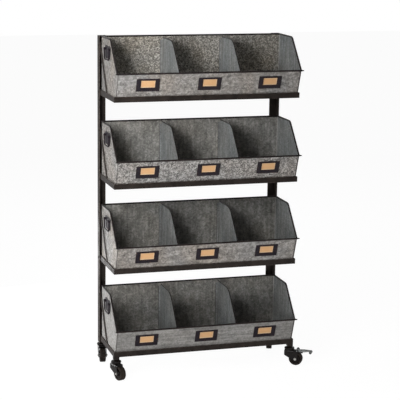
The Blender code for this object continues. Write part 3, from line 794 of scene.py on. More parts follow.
def addWrap(bm):
    # back, floor and front, in one bent sheet between the ends
    size = binSheet
    wall, bend = size["wall"], size["bend"]
    back, rise, nose = size["backY"], cart["binRise"], size["frontRise"]
    inFloor, leanWall = binFloor + wall, wall * leanStretch
    points = [
        (back, rise), (back, binFloor), (binFront(binFloor), binFloor), (binFront(nose), nose),
        (binFront(nose) + leanWall, nose), (binFront(inFloor) + leanWall, inFloor),
        (back - wall, inFloor), (back - wall, rise),
    ]
    outline = roundCorners(points, {1: bend, 2: bend, 5: bend - wall, 6: bend - wall}, size["bendSteps"])
    outside = 2 + 2 * (size["bendSteps"] + 1)  # points on the outer face
    mats = [binSlots["front"] if k < outside - 1 else binSlots["back"] for k in range(len(outline))]
    ends = (wall - size["halfWidth"], size["halfWidth"] - wall)
    loft(bm, [[(x, y, z) for y, z in outline] for x in ends], mats=mats)


def addEnd(bm, sx, profile):
    size = binSheet
    half, rise = size["halfWidth"], cart["binRise"]
    inside = half - size["wall"]
    rows = loft(bm, [[(sx * x, y, z) for y, z in profile] for x in (inside, half)])
    for face in rows[0][0].link_faces:
        if len(face.verts) == len(profile):
            face.material_index = binSlots["inside"]
    # flange folded in against the back, spot welded
    left, right = sorted((sx * inside, sx * (inside - size["flange"])))
    backY = size["backY"] - size["wall"]
    faceY = backY - size["flangeWall"]
    low = (left, faceY, binFloor + size["flangeFoot"])
    high = (right, backY + size["flangeLap"], rise - size["flangeTop"])
    addBlock(bm, low, high, size["flangeEdge"], binSlots["back"])
    spots = spotRow(binFloor + size["flangeWeld"], weldSpot["pitch"])
    addWeldSpots(bm, [((left + right) / 2, faceY, z) for z in spots], (0, -1, 0), binSlots["back"])
    # soldered seam up the back corner, pale tin partly standing in as a painted highlight along the seam
    solder, (fromEnd, fromFlange) = size["solder"], size["solderPlace"]
    seamX, seamY = sx * (inside - solder * fromEnd), faceY - solder * fromFlange
    levels = (binFloor + size["solderFoot"], rise - size["solderTop"])
    addTube(bm, [(seamX, seamY, z) for z in levels], solder, roundFacets["solder"], binSlots["solder"])
    # fold down the front corner, with a dark seam beside it; the left fold is given bright zinc as a painted
    # highlight, the right one the dark rim colour
    fold, seam, (seamIn, seamBack) = size["fold"], size["seam"], size["seamPlace"]
    levels = (binFloor + size["bend"], size["frontRise"] - size["rim"])
    corner = [(sx * (half - fold), binFront(z) + fold * size["foldBack"], z) for z in levels]
    addTube(bm, corner, fold, roundFacets["fold"], binSlots["zinc" if sx < 0 else "rim"])
    beside = [(sx * (half - seamIn * fold), binFront(z) + seam * seamBack, z) for z in levels]
    addTube(bm, beside, seam, roundFacets["seam"], binSlots["rim"])


def addRim(bm, profile):
    # rolled edge all round, with a tip at each front corner
    size = binSheet
    halfWall, rim, drop = size["wall"] / 2, size["rim"], size["rimDrop"]
    middle = size["halfWidth"] - halfWall
    right = [(middle, y, z - drop) for y, z in profile[2:]]
    right[0] = (middle, size["backY"] - halfWall, cart["binRise"] - drop)
    right[-1] = (middle, binFront(size["frontRise"]) + halfWall, size["frontRise"] - drop)
    left = [(-x, y, z) for x, y, z in reversed(right)]
    look = {"mat": binSlots["rim"], "wear": size["rimWear"]}
    addTube(bm, right + left, rim, roundFacets["rim"], closed=True, **look)
    for sx, tip in size["tips"].items():
        start = Vector((sx * (middle - size["tipRoot"]), *right[-1][1:]))
        path = [start + Vector((sx * tip * out, forward, up)) for out, forward, up, _ in size["tipSteps"]]
        addTube(bm, path, [rim * share for *_, share in size["tipSteps"]], roundFacets["tip"], **look)


def makeBinMesh(name, frontFinish, backFinish):
    bm = bmesh.new()
    profile = endOutline(0, 0, binSheet["knee"], binSheet["kneeSteps"])
    addWrap(bm)
    for sx in (-1, 1):
        addEnd(bm, sx, profile)
    addRim(bm, profile)
    return finishMesh(name, bm, [frontFinish, backFinish, rolledEdge, smoothSheet, zincPlate, solderTinWithGlint])


def makeDividerMesh():
    bm = bmesh.new()
    size, rise = dividerSheet, cart["binRise"]
    foot, flange, solder, halfWall = size["foot"], size["flange"], size["solder"], size["wall"] / 2
    profile = endOutline(size["drop"], binSheet["wall"] + cart["gap"], size["knee"], size["kneeSteps"])
    loft(bm, [[(x, y, z) for y, z in profile] for x in (-halfWall, halfWall)])
    edge = [Vector((0, y, z)) for y, z in profile[2:]]
    edge[0] = (0, profile[2].x - size["hem"], profile[2].y)
    edge[-1] = edge[-1].lerp(edge[-2], size["hemEnd"])
    addTube(bm, edge, size["hem"], roundFacets["hem"], dividerSlots["hem"], wear=binSheet["rimWear"])
    # foot on the bin's floor and flange on its back, spot welded
    (front, floor), (back, _) = profile[:2]
    face, footTop = back - size["flangeWall"], floor + size["flangeWall"]
    low, high = floor + size["flangeFoot"], rise - size["flangeTop"]
    addBlock(bm, (0, front + foot, floor), (foot, back - foot, footTop), binSheet["flangeEdge"])
    addBlock(bm, (-flange, face, low), (0, back, high), binSheet["flangeEdge"])
    flangeSpots = [(-flange / 2, face, z) for z in spotRow(floor + size["flangeWeld"], weldSpot["pitch"])]
    addWeldSpots(bm, flangeSpots, (0, -1, 0), dividerSlots["sheet"])
    footSpots = [(foot / 2, y, footTop) for y in spotRow(front + size["footWeld"], size["footPitch"])]
    addWeldSpots(bm, footSpots, (0, 0, 1), dividerSlots["sheet"])
    fromSheet, fromFlange = size["solderPlace"]
    seamX, seamY = -halfWall - solder * fromSheet, face - solder * fromFlange
    levels = (floor + size["solderFoot"], rise - size["solderTop"])
    addTube(bm, [(seamX, seamY, z) for z in levels], solder, roundFacets["solder"], dividerSlots["zinc"])
    # dark line where the flange ends on the bin's back
    line = [(-flange, back - size["lineOut"], z) for z in (low, high)]
    addTube(bm, line, size["line"], roundFacets["seam"], dividerSlots["hem"])
    return finishMesh("dividerSheet", bm, [smoothSheet, zincPlate, rolledEdge])


labelHolder = {
    "width": 0.085, "height": 0.049, "window": (0.051, 0.0275), "lift": 0.004, "front": 0.0011,
    "wall": 0.0012, "corner": 0.0018, "cornerSteps": 4, "edge": 0.0004, "paneCorner": 0.0008, "lip": 0.0022,
    # steps of the bead round the window: out and up in lips, corner, rise
    "lipSteps": ((1, 0.9, 0.0016, 0), (0.7, 0.65, 0.0014, 0.0006), (0.25, 0.25, 0.0011, 0.0006)),
    "wear": {2: 0.6, 3: 0.6, 5: 0.8, 6: 1.0, 7: 1.4},  # of these rings, by number
    "rivet": 0.0030, "rivetHeight": 0.0013, "rivetSink": 0.0003, "rivetAt": 0.0348, "rivetFacets": 18,
    "railIn": 0.001, "railLap": 0.0001, "railEdge": 0.0003, "cardRoom": 0.0008, "sillDrop": 0.0042,
}
labelCard = {
    "width": 0.057, "height": 0.033, "drop": 0.0035, "back": 0.0004, "wall": 0.00045, "bow": 0.00018,
    "across": (-1, -0.885, -0.79, -0.4, 0, 0.4, 0.79, 0.885, 1),
    "up": (0, 0.125, 0.22, 0.4, 0.62, 0.84, 0.93, 1),
    "unfaded": (0.8, 0.2, 0.9),  # half width, foot and top of the part that keeps its colour
}
holderSlots = {"steel": 0, "lip": 1}


def holderRing(x, y, lift, radius, z):
    corners = boxCorners((-x, lift - y), (x, lift + y))
    outline = roundCorners(corners, dict.fromkeys(range(4), radius), labelHolder["cornerSteps"])
    return [(u, v, z) for u, v in outline]


def makeHolderMesh():
    bm = bmesh.new()
    size = labelHolder
    front, top = size["front"], size["front"] + size["wall"]
    halfX, halfY, lift = size["width"] / 2, size["height"] / 2, size["lift"]
    paneX, paneY = size["window"][0] / 2, size["window"][1] / 2
    corner, edge, lip = size["corner"], size["edge"], size["lip"]
    # pressed frame: back edge, rounded outer edge, face, raised bead round the window, window edge
    rings = [
        holderRing(paneX, paneY, lift, size["paneCorner"], front),
        holderRing(halfX, halfY, 0, corner, front),
        holderRing(halfX, halfY, 0, corner, top - edge),
        holderRing(halfX - edge, halfY - edge, 0, corner - edge, top),
    ]
    for out, up, radius, rise in size["lipSteps"]:
        rings.append(holderRing(paneX + lip * out, paneY + lip * up, lift, radius, top + rise))
    rings.append(holderRing(paneX, paneY, lift, size["paneCorner"], top))
    rows = loft(bm, rings, closed=True)
    layer = bm.verts.layers.float["edgeWear"]
    for index, value in size["wear"].items():
        for vert in rows[index]:
            vert[layer] = value
    bead = {vert for row in (rows[0], *rows[4:]) for vert in row}
    for face in bm.faces:
        face.material_index = holderSlots["lip" if bead.issuperset(face.verts) else "steel"]
    # side rails and sill stand the frame off the panel and hold the card
    railX = labelCard["width"] / 2 + size["cardRoom"]
    foot, railTop = size["railIn"] - halfY, front + size["railLap"]
    for sx in (-1, 1):
        left, right = sorted((sx * railX, sx * (halfX - size["railIn"])))
        addBlock(bm, (left, foot, cart["gap"]), (right, -foot, railTop), size["railEdge"])
        rivet = Matrix.Translation((sx * size["rivetAt"], 0, top))
        addDome(bm, rivet, size["rivet"], size["rivetHeight"], size["rivetSink"], size["rivetFacets"])
    sill = lift - paneY - size["sillDrop"]
    addBlock(bm, (-railX, foot, cart["gap"]), (railX, sill, railTop), size["railEdge"])
    return finishMesh("labelHolder", bm, [holderSteel, rustLip])


def makeCardMesh():
    # plain card, bowed a little, with its rim marked so that it can fade
    bm = bmesh.new()
    size, across, up = labelCard, labelCard["across"], labelCard["up"]
    layer = bm.verts.layers.float.new("edgeWear")
    low = labelHolder["lift"] - labelHolder["window"][1] / 2 - size["drop"]
    side, foot, top = size["unfaded"]
    grids = []
    for depth in (0, size["wall"]):
        grid = []
        for v in up:
            row = []
            for u in across:
                z = size["back"] + depth + size["bow"] * (1 - u * u)
                vert = bm.verts.new((u * size["width"] / 2, low + v * size["height"], z))
                vert[layer] = 1.0 if abs(u) > side or not foot < v < top else 0.0
                row.append(vert)
            grid.append(row)
        grids.append(grid)
    for grid in grids:
        for near, far in zip(grid, grid[1:]):
            for i in range(len(across) - 1):
                bm.faces.new((near[i], near[i + 1], far[i + 1], far[i]))
    rims = []
    for grid in grids:
        right, left = [row[-1] for row in grid[1:-1]], [row[0] for row in grid[1:-1]]
        rims.append(grid[0] + right + grid[-1][::-1] + left[::-1])
    loop = list(zip(*rims))
    for (back, face), (nextBack, nextFace) in zip(loop, loop[1:] + loop[:1]):
        bm.faces.new((back, nextBack, nextFace, face))
    return finishMesh("labelCard", bm, [kraftCard])


dropHandle = {
    "height": 0.157, "setback": 0.0995, "halfPlate": 0.043, "above": 0.013, "below": 0.034,
    "plateWall": 0.0015, "edge": 0.0004, "edgeDraw": (0.985, 0.965),
    "footIn": 0.008, "footFlat": 0.92, "footOut": 0.0004, "footUp": 0.003, "shoulderDrop": 0.008,
    "topShare": 0.86, "topSteps": 40, "lobeDip": 0.0055, "lobePower": 0.7,
    "dipMean": 0.8, "dipSwing": 0.2,  # the dip between the lobes is deeper than those at the ends
    "knuckle": 0.0045, "knuckleLength": 0.010, "knuckleEdge": 0.0005, "knuckleSteps": 20, "bailGap": 0.0004,
    "rivet": 0.0028, "rivetHeight": 0.0012, "rivetSink": 0.0003, "rivetAt": (0.014, 0.0045),
    "span": 0.076, "drop": 0.037, "taper": 0.007, "bar": 0.0024, "barFacets": 14, "barWear": 0.5,
    "bend": 0.010, "tightBend": 0.0026, "bendSteps": 7,
}
pivotOut = cart["gap"] + dropHandle["plateWall"] / 2 + dropHandle["knuckle"]  # bin's end to the bail's pivot
legLean = dropHandle["taper"] / dropHandle["drop"]
legRoom = dropHandle["bar"] * math.hypot(1, legLean) + dropHandle["knuckle"] * legLean
knuckleEnd = dropHandle["span"] / 2 - legRoom - dropHandle["bailGap"]


def makePlateMesh():
    bm = bmesh.new()
    size = dropHandle
    back = cart["gap"] - pivotOut
    face = back + size["plateWall"]
    half, low, high = size["halfPlate"], -size["below"], size["above"]
    foot = half - size["footIn"]
    # two lobes along the top
    top = []
    for k in range(size["topSteps"] + 1):
        share = k / size["topSteps"]
        lobe = abs(math.sin(math.tau * share)) ** size["lobePower"]
        dip = size["dipMean"] - size["dipSwing"] * math.cos(math.tau * share)
        top.append((half * size["topShare"] * (1 - 2 * share), high - size["lobeDip"] * (1 - lobe) * dip))
    right = [
        (foot * size["footFlat"], low), (foot + size["footOut"], low + size["footUp"]),
        (half, high - size["shoulderDrop"]),
    ]
    outline = right + top + [(-y, z) for y, z in reversed(right)]
    levels = ((back, 1, 1), (face - size["edge"], 1, 1), (face, *size["edgeDraw"]))
    loft(bm, [[(x, y * across, z * up) for y, z in outline] for x, across, up in levels])
    bore, outer, edge = size["bar"] + size["bailGap"], size["knuckle"], size["knuckleEdge"]
    rivetY, rivetZ = size["rivetAt"]
    for sy in (-1, 1):
        a, b = sorted((sy * (knuckleEnd - size["knuckleLength"]), sy * knuckleEnd))
        ring = [(bore, a), (outer - edge, a), (outer, a + edge)]
        ring += [(outer, b - edge), (outer - edge, b), (bore, b)]
        addTurned(bm, [(r, -h) for r, h in ring], size["knuckleSteps"], lyingAcross)
        rivet = Matrix.Translation((face, sy * rivetY, rivetZ)) @ facingRight
        addDome(bm, rivet, size["rivet"], size["rivetHeight"], size["rivetSink"])
    return finishMesh("handlePlate", bm, [holderSteel])


def makeBailMesh():
    bm = bmesh.new()
    size = dropHandle
    half, tip, drop = size["span"] / 2, knuckleEnd - size["knuckleLength"], size["drop"]
    low = half - size["taper"]
    route = [(-tip, 0), (-half, 0), (-low, -drop), (low, -drop), (half, 0), (tip, 0)]
    radii = {1: size["tightBend"], 2: size["bend"], 3: size["bend"], 4: size["tightBend"]}
    path = roundCorners(route, radii, size["bendSteps"])
    addTube(bm, [(0, y, z) for y, z in path], size["bar"], size["barFacets"], wear=size["barWear"])
    return finishMesh("handleBail", bm, [holderSteel])


binFinish = {
    "bottom": (brushedFront, plainSheet), "lower": (frontSheet, plainSheet),
    "upper": (speckledFront, plainSheet), "top": (frontSheet, backSheet),
}


def buildBins():
    dividerMesh = makeDividerMesh()
    holderMesh, cardMesh = makeHolderMesh(), makeCardMesh()
    plateMesh, bailMesh = makePlateMesh(), makeBailMesh()
    middle = binSheet["frontRise"] / 2
    tilt = (math.radians(90) + leanAngle, 0, 0)
    pivotX, pivotY = binSheet["halfWidth"] + pivotOut, binSheet["backY"] - dropHandle["setback"]
    for tier in tiers:
        body, lip = f"bin_{tier}", lipZ[tier]
        binMesh = makeBinMesh(f"binSheet_{tier}", *binFinish[tier])
        placePiece(f"binSheet_{tier}", binMesh, body, (0, 0, lip), nodes=[f"bin_{tier}"])
        for end, sx in sides.items():
            placePiece(f"dividerSheet_{tier}_{end}", dividerMesh, body,
                       (sx * dividerSheet["offset"], 0, lip), nodes=[f"divider_{tier}_{end}"])
        for column, label in enumerate(("left", "middle", "right")):
            place = ((column - 1) * 2 * dividerSheet["offset"], binFront(middle), lip + middle)
            placePiece(f"labelHolder_{tier}_{label}", holderMesh, body,
                       place, tilt, [f"label_holder_{tier}_{label}"])
            placePiece(f"labelCard_{tier}_{label}", cardMesh, body, place, tilt)
        for end, sx in sides.items():
            place = (sx * pivotX, pivotY, lip + dropHandle["height"])
            turn = (0, 0, 0 if sx > 0 else math.pi)
            placePiece(f"handlePlate_{tier}_{end}", plateMesh, body,
                       place, turn, [f"handle_plate_{tier}_{end}"])
            placePiece(f"handleBail_{tier}_{end}", bailMesh, f"bail_{tier}_{end}",
                       place, turn, [f"handle_bail_{tier}_{end}"])


buildBins()
print("bins built")


# casters

caster = {
    "wheel": 0.02577, "width": 0.022, "trail": 0.025, "axleZ": 0.025778, "crownZ": 0.055778, "wall": 0.0025,
    "halfFork": 0.0155, "back": 0.017, "front": 0.021, "skirt": 0.006, "backSkirt": 0.018, "footClip": 0.002,
    "shoulder": 0.0055, "shoulderSteps": 6, "boss": 0.0085,
    "bossTurn": (220, 360, 12), "earTurn": (-40, 120, 12),
    "legLap": 0.001, "legEdge": 0.0006, "webEdge": 0.0008,
    "legDraw": 0.024,  # share by which a leg's outer edge draws in
    "headSink": 0.001, "headTop": 0.0078, "headHeight": 0.013, "stem": 0.005, "stemTop": 0.0812,
    "axle": 0.003, "axleEnd": 0.0029, "bolt": 0.0036, "boltWall": 0.003, "boltEdge": 0.0006, "boltDraw": 0.86,
    "washer": 0.0048, "washerWall": 0.0006, "wheelSharp": 40,
}
wheelSlots = {"tread": 0, "core": 1}
# outlines of turned shapes, as (radius, height) where no note says otherwise
turnedShape = {
    # radius, and depth below the wheel's side face
    "core": (
        (0.0034, 0), (0.0072, 0), (0.0080, 0.0007), (0.0094, 0.0030), (0.0168, 0.0034), (0.0186, 0.0016),
        (0.0196, 0.0012),
    ),
    "tyreFoot": ((0.0192, 0.0008), (0.0206, 0)),
    # depth below the tread and below the side face: a round shoulder and a shallow groove
    "tread": (
        (0.0028, 0), (0.0011, 0.0010), (0.0002, 0.0030), (0, 0.0056), (0.0007, 0.0060), (0.0007, 0.0068),
        (0, 0.0072),
    ),
    "boss": ((0.0036, -0.0008), (0.0070, -0.0008), (0.0070, 0.0002), (0.0062, 0.0003), (0.0036, 0.0003)),
    "head": (
        (0, 0), (0.0165, 0), (0.0182, 0.0022), (0.0184, 0.0040), (0.0176, 0.0047), (0.0176, 0.0055),
        (0.019, 0.0062), (0.019, 0.0082), (0.0178, 0.0098), (0.0135, 0.0116), (0.0098, 0.0128),
    ),
    "cup": ((0, 0.0005), (0.0125, 0.0005), (0.0125, -0.0022), (0.0112, -0.0040), (0, -0.0040)),
}
turnedSteps = {"core": 56, "tyre": 72, "boss": 24, "head": 40, "cup": 32, "pin": 24, "hex": 6}
pedal = {
    "ahead": 0.010, "width": 0.0198, "wall": 0.0020, "reach": 0.050, "ear": 0.0060,
    "steps": 14, "root": 0.002, "tipShort": 0.003, "waist": 0.80, "flare": 1.6, "crown": 0.0009,
    "flange": 0.0066, "flangeFade": 0.75, "fadeFrom": 0.55, "edge": 0.0012, "lipShare": 0.7,
    "barrel": 0.0042, "barrelShare": 0.8, "pin": 0.0024, "pinEdge": (0.0004, 0.0005),
    "curl": 0.0060, "curlRise": 0.00125, "curlWall": 0.0016,
    "curlSteps": 20, "curlStep": 15, "curlStraight": 6,
    "padAhead": 0.65, "padWheel": 0.026, "padGap": 0.0028, "padLength": 0.010,
    "padShare": 0.72, "padEdge": 0.0008,
}
pedalSlots = {"lever": 0, "shoe": 1}
casterTurns = {"front_left": 290, "front_right": 328, "rear_left": 262, "rear_right": 250}
braked = ("front_right", "rear_right")
pedalPivot = (caster["front"] + pedal["ahead"], caster["crownZ"] + caster["wall"])


def mirrored(side):
    return side + [(r, -h) for r, h in reversed(side)]


def makeWheelMesh():
    bm = bmesh.new()
    half, tyre = caster["width"] / 2, caster["wheel"]
    # hard core with a recessed face and a hub
    core = [(r, half - depth) for r, depth in turnedShape["core"]]
    addTurned(bm, mirrored(core), turnedSteps["core"], lyingAcross, wheelSlots["core"])
    # rubber tyre with rounded shoulders and two shallow grooves
    side = [(r, half - depth) for r, depth in turnedShape["tyreFoot"]]
    side += [(tyre - below, half - depth) for below, depth in turnedShape["tread"]]
    addTurned(bm, mirrored(side), turnedSteps["tyre"], lyingAcross, wheelSlots["tread"])
    return finishMesh("casterWheel", bm, [treadRubber, coreRubber], caster["wheelSharp"])


def makeAxleMesh():
    # bolt through the fork, with a hex head on one side and a nut on the other, each on a washer
    bm = bmesh.new()
    size = caster
    axle, bolt, washer, near = size["axle"], size["bolt"], size["washer"], size["halfFork"] + cart["gap"]
    addSpun(bm, [(axle, -near - size["axleEnd"]), (axle, near)], turnedSteps["pin"], lyingAcross)
    low, high = near + size["washerWall"], near + size["boltWall"]
    hexagon = [(bolt, low), (bolt, high - size["boltEdge"]), (bolt * size["boltDraw"], high)]
    for turn in (180, 0):
        place = lyingAcross @ Matrix.Rotation(math.radians(turn), 4, "X")
        addSpun(bm, hexagon, turnedSteps["hex"], place)
        addSpun(bm, [(0, near), (washer, near), (washer, low), (0, low)], turnedSteps["pin"], place)
    return finishMesh("casterAxle", bm, [zincPlate])


def makeForkMesh(hasBrake):
    bm = bmesh.new()
    size = caster
    half, wall, front, backX = size["halfFork"], size["wall"], size["front"], -size["back"]
    top, skirt = size["crownZ"] + wall, size["crownZ"] - size["skirt"]
    # crown: a U section with round shoulders
    radius, steps = size["shoulder"], size["shoulderSteps"]
    right, left = (half - radius, top - radius), (radius - half, top - radius)
    outer = arcPoints(right, radius, 0, 90, steps) + arcPoints(left, radius, 90, 180, steps)
    inner = arcPoints(left, radius - wall, 180, 90, steps) + arcPoints(right, radius - wall, 90, 0, steps)
    section = [(half, skirt), *outer, (-half, skirt), (wall - half, skirt), *inner, (half - wall, skirt)]
    loft(bm, [[(x, y, z) for y, z in section] for x in (backX, front)])
    # legs
    backFoot, lap, clip = size["crownZ"] - size["backSkirt"], size["legLap"], size["footClip"]
    leg = [(backX, skirt + lap), (backX, backFoot + clip), (backX + clip, backFoot)]
    leg += arcPoints((size["trail"], size["axleZ"]), size["boss"], *size["bossTurn"])
    if hasBrake:
        leg += arcPoints(pedalPivot, pedal["ear"], *size["earTurn"]) + [(front, top - radius)]
    else:
        leg += [(front, skirt), (front, skirt + lap)]
    midX, midZ = size["trail"] / 2, (skirt + size["axleZ"]) / 2
    for sy in (-1, 1):
        rings = []
        for y, draw in ((half - wall, 0), (half - size["legEdge"], 0), (half, size["legDraw"])):
            rings.append([(u + (midX - u) * draw, sy * y, v + (midZ - v) * draw) for u, v in leg])
        loft(bm, rings)
        # pressed boss round the axle
        outward = Matrix.Rotation(math.radians(-90 * sy), 4, "X")
        face = Matrix.Translation((size["trail"], sy * half, size["axleZ"])) @ outward
        addTurned(bm, turnedShape["boss"], turnedSteps["boss"], face)
    # web across the back of the legs
    low, high = (backX, wall / 2 - half, backFoot + lap), (backX + wall, half - wall / 2, top - wall)
    addBlock(bm, low, high, size["webEdge"])
    # swivel head: two cups with the ball groove between them, and the stem
    headFoot, headTop, stem = top - size["headSink"], top + size["headHeight"], size["stem"]
    head = [(r, headFoot + h) for r, h in turnedShape["head"]]
    head += [(size["headTop"], headTop), (stem, headTop), (stem, size["stemTop"]), (0, size["stemTop"])]
    addSpun(bm, head, turnedSteps["head"], standing)
    # lower race, pressed up under the crown
    cup = [(r, size["crownZ"] + h) for r, h in turnedShape["cup"]]
    addSpun(bm, cup, turnedSteps["cup"], standing)
    return finishMesh("casterForkBraked" if hasBrake else "casterFork", bm, [casterBlack])


def addPin(bm, radius, reach):
    # round bar along Y with softened ends
    edge, run = pedal["pinEdge"]
    end = [(radius, reach - run), (radius - edge, reach), (0, reach)]
    profile = [(r, -h) for r, h in reversed(end)] + end
    addSpun(bm, profile, turnedSteps["pin"], lyingAcross)


def makePedalMesh():
    bm = bmesh.new()
    size = pedal
    half, wall, edge = size["width"] / 2, size["wall"], size["edge"]
    # stamped lever: a channel that opens downwards and widens to the tread
    rings = []
    for k in range(size["steps"] + 1):
        t = k / size["steps"]
        x = size["root"] + (size["reach"] - size["tipShort"]) * t
        width = half * (size["waist"] + (1 - size["waist"]) * min(1, t * size["flare"]))
        fade = size["flangeFade"] * max(0, t - size["fadeFrom"]) / (1 - size["fadeFrom"])
        depth = size["flange"] * (1 - fade)
        z = wall / 2 + size["crown"] * math.sin(math.pi * t)
        lip = width - wall * size["lipShare"]
        outside = [(width - edge, z), (width, z - edge), (width, z - depth)]
        rightHalf = outside + [(lip, z - depth), (lip, z - wall)]
        leftHalf = [(-y, level) for y, level in reversed(rightHalf)]
        section = leftHalf[2:] + rightHalf + leftHalf[:2]
        rings.append([(x, y, level) for y, level in section])
    loft(bm, rings, pedalSlots["lever"])
    addPin(bm, size["barrel"], half * size["barrelShare"])
    addPin(bm, size["pin"], caster["halfFork"] + cart["gap"])
    # tip rolled under, with the end of the roll left open
    middle = (size["reach"], size["curlRise"] - size["curl"])
    steps, straight, curlWall = size["curlSteps"], size["curlStraight"], size["curlWall"]
    curl = []
    for k in range(steps + 1):
        radius = size["curl"] - curlWall * max(0, k - straight) / (steps - straight)
        curl.append((radius, math.radians(90 - size["curlStep"] * k)))
    roll = [polar(middle, radius, angle) for radius, angle in curl]
    roll += [polar(middle, radius - curlWall, angle) for radius, angle in reversed(curl)]
    loft(bm, [[(x, y, z) for x, z in roll] for y in (-half, half)])
    # brake shoe over the tyre
    padX = caster["trail"] + size["padAhead"] * size["padWheel"] - pedalPivot[0]
    padRise = size["padWheel"] * math.sqrt(1 - size["padAhead"] ** 2)
    padZ = caster["axleZ"] + padRise + size["padGap"] - pedalPivot[1]
    padHalf = half * size["padShare"]
    padHigh = (padX + size["padLength"], padHalf, 0.0)
    addBlock(bm, (padX, -padHalf, padZ), padHigh, size["padEdge"], pedalSlots["shoe"])
    return finishMesh("brakePedal", bm, [smoothSheet, casterBlack])


def buildCasters():
    wheelMesh, axleMesh, pedalMesh = makeWheelMesh(), makeAxleMesh(), makePedalMesh()
    forks = {flag: makeForkMesh(flag) for flag in (False, True)}
    inset = socket["size"] / 2
    for name, heading in casterTurns.items():
        sx = -1 if name.endswith("left") else 1
        if name.startswith("front"):
            x, y = sx * (cart["halfWidth"] - inset), cart["frontY"] + inset
        else:
            x = sx * (cart["halfWidth"] + cart["gap"] - inset)
            y = cart["rearY"] - uprightIron["wall"] - inset
        spin = Matrix.Rotation(math.radians(heading), 4, "Z")
        swivel = Vector((x, y, 0))
        axle = swivel + spin @ Vector((caster["trail"], 0, caster["axleZ"]))
        isBraked = name in braked
        pieces = [
            ("casterFork", forks[isBraked], "caster", "frame_paint", swivel, "caster_fork"),
            ("casterAxle", axleMesh, "caster", "zinc_plate", axle, "caster_axle"),
            ("casterWheel", wheelMesh, "wheel", "wheel_rubber", axle, "caster_wheel"),
        ]
        if isBraked:
            pivot = swivel + spin @ Vector((pedalPivot[0], 0, pedalPivot[1]))
            pieces.append(("brakePedal", pedalMesh, "pedal", "zinc_plate", pivot, "brake_pedal"))
        for label, mesh, body, slot, place, node in pieces:
            headed = mesh.copy()  # turned to its heading, so that its box is tight
            headed.transform(spin)
            placePiece(f"{label}_{name}", headed, f"{body}_{name}", place, nodes=[f"{node}_{name}"])


buildCasters()
print("casters built")


# studio

studio = {
    "floorTone": (0.93, 0.93, 0.93), "floorGlow": 0.84, "floorStrength": 1.14, "floorReach": 14,
    "diffuseSky": 0.05, "wideSpread": 180,
}
lamps = {
    "key": {
        "at": (-1.55, -1.75, 1.53), "aim": (-0.42, 0, 1.02), "size": (0.8, 0.8), "watts": 3.4, "spread": 52,
    },
    "nearHigh": {
        "at": (-0.85, -0.8, 1.32), "aim": (-0.05, 0, 1.12), "size": (0.3, 0.5), "watts": 3, "spread": 120,
    },
    "nearLow": {
        "at": (-0.85, -0.8, 0.32), "aim": (-0.05, 0, 0.22), "size": (0.3, 0.4), "watts": 1.3, "spread": 120,
    },
    "side": {"at": (-1.05, 0.30, 0.06), "aim": (-0.34, 0.05, 0.16), "size": (0.5, 0.12), "watts": 5.3},
    "sheen": {"at": (-0.62, 1.25, 0.16), "aim": (-0.35, 0, 0.35), "size": (0.35, 0.25), "watts": 1.6},
    "overhead": {"at": (0.1, -0.1, 2.4), "aim": (0.1, 0, 1.1), "size": (1.2, 0.8), "watts": 2.2},
    "floorBounce": {"at": (0.18, -0.85, 0.02), "aim": (0.18, -0.3, 0.6), "size": (1.4, 0.4), "watts": 7.5},
    "back": {"at": (0.8, 2.8, 2.6), "aim": (0, 0, 0.65), "size": (2.2, 1.6), "watts": 12},
}


def whiteToCamera(tree):
    # 1 for camera, glossy and transmission rays, 0 for the rays that light the cart
    path = addNode(tree, "ShaderNodeLightPath").outputs
    seen = calculate(tree, "MAXIMUM", path["Is Camera Ray"], path["Is Glossy Ray"])
    return calculate(tree, "MAXIMUM", seen, path["Is Transmission Ray"])


def makeFloor():
    bm = bmesh.new()
    bmesh.ops.create_grid(bm, x_segments=1, y_segments=1, size=studio["floorReach"])
    made, tree, shader = newMaterial("paleFloor")
    tree.nodes.remove(shader)
    paint = addNode(tree, "ShaderNodeBsdfDiffuse", {"Color": (*studio["floorTone"], 1)}).outputs[0]
    white = {"Color": (1, 1, 1, 1), "Strength": studio["floorStrength"]}
    glow = addNode(tree, "ShaderNodeEmission", white).outputs[0]
    share = calculate(tree, "MULTIPLY", whiteToCamera(tree), studio["floorGlow"])
    mix = addNode(tree, "ShaderNodeMixShader", {0: share, 1: paint, 2: glow})
    tree.links.new(mix.outputs[0], tree.nodes["Material Output"].inputs["Surface"])
    floor = bpy.data.objects.new("studioFloor", finishMesh("studioFloor", bm, [made]))
    bpy.context.scene.collection.objects.link(floor)


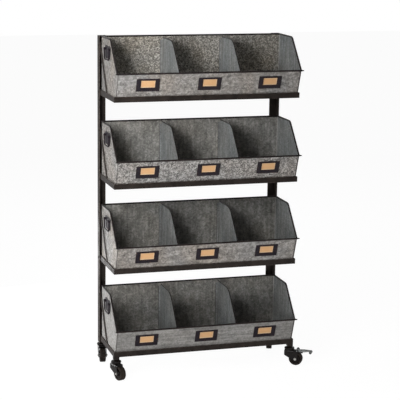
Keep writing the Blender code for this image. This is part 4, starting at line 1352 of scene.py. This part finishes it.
def makeWorld():
    world = bpy.data.worlds.new("studioWorld")
    world.use_nodes = True
    bpy.context.scene.world = world
    tree = world.node_tree
    strength = mapRange(tree, whiteToCamera(tree), 0.0, 1.0, studio["diffuseSky"], 1.0)
    feed(tree, tree.nodes["Background"], {"Color": (1, 1, 1, 1), "Strength": strength})


def makeLamp(name, lamp):
    data = bpy.data.lights.new(name, "AREA")
    data.shape = "RECTANGLE"
    data.size, data.size_y = lamp["size"]
    data.energy = lamp["watts"]
    data.spread = math.radians(lamp.get("spread", studio["wideSpread"]))
    made = bpy.data.objects.new(name, data)
    made.visible_camera = False
    bpy.context.scene.collection.objects.link(made)
    made.location = lamp["at"]
    aim = Vector(lamp["aim"]) - Vector(lamp["at"])
    made.rotation_euler = aim.to_track_quat("-Z", "Y").to_euler()


makeFloor()
makeWorld()
for lampName, lamp in lamps.items():
    makeLamp(lampName, lamp)
bpy.context.scene.view_settings.view_transform = "Standard"
print("studio lit")

view = {
    "at": (-1.494471, -4.979603, 1.679486), "yaw": 16.82, "pitch": -11.474, "roll": 0.727,
    "focal": 1434.5, "frame": 400, "sensor": 36.0, "far": 60,
}


def makeCamera():
    yaw, pitch, roll = (math.radians(view[name]) for name in ("yaw", "pitch", "roll"))
    ahead = Vector((math.sin(yaw) * math.cos(pitch), math.cos(yaw) * math.cos(pitch), math.sin(pitch)))
    right = Vector((math.cos(yaw), -math.sin(yaw), 0))
    up = right.cross(ahead)
    right, up = math.cos(roll) * right + math.sin(roll) * up, math.cos(roll) * up - math.sin(roll) * right
    data = bpy.data.cameras.new("photoCamera")
    data.sensor_fit = "HORIZONTAL"
    data.sensor_width = view["sensor"]
    data.lens = view["focal"] * view["sensor"] / view["frame"]
    data.clip_end = view["far"]
    made = bpy.data.objects.new("photoCamera", data)
    bpy.context.scene.collection.objects.link(made)
    turn = Matrix((right, up, -ahead)).transposed().to_4x4()
    made.matrix_world = Matrix.Translation(view["at"]) @ turn
    bpy.context.scene.camera = made


makeCamera()
print("camera set")
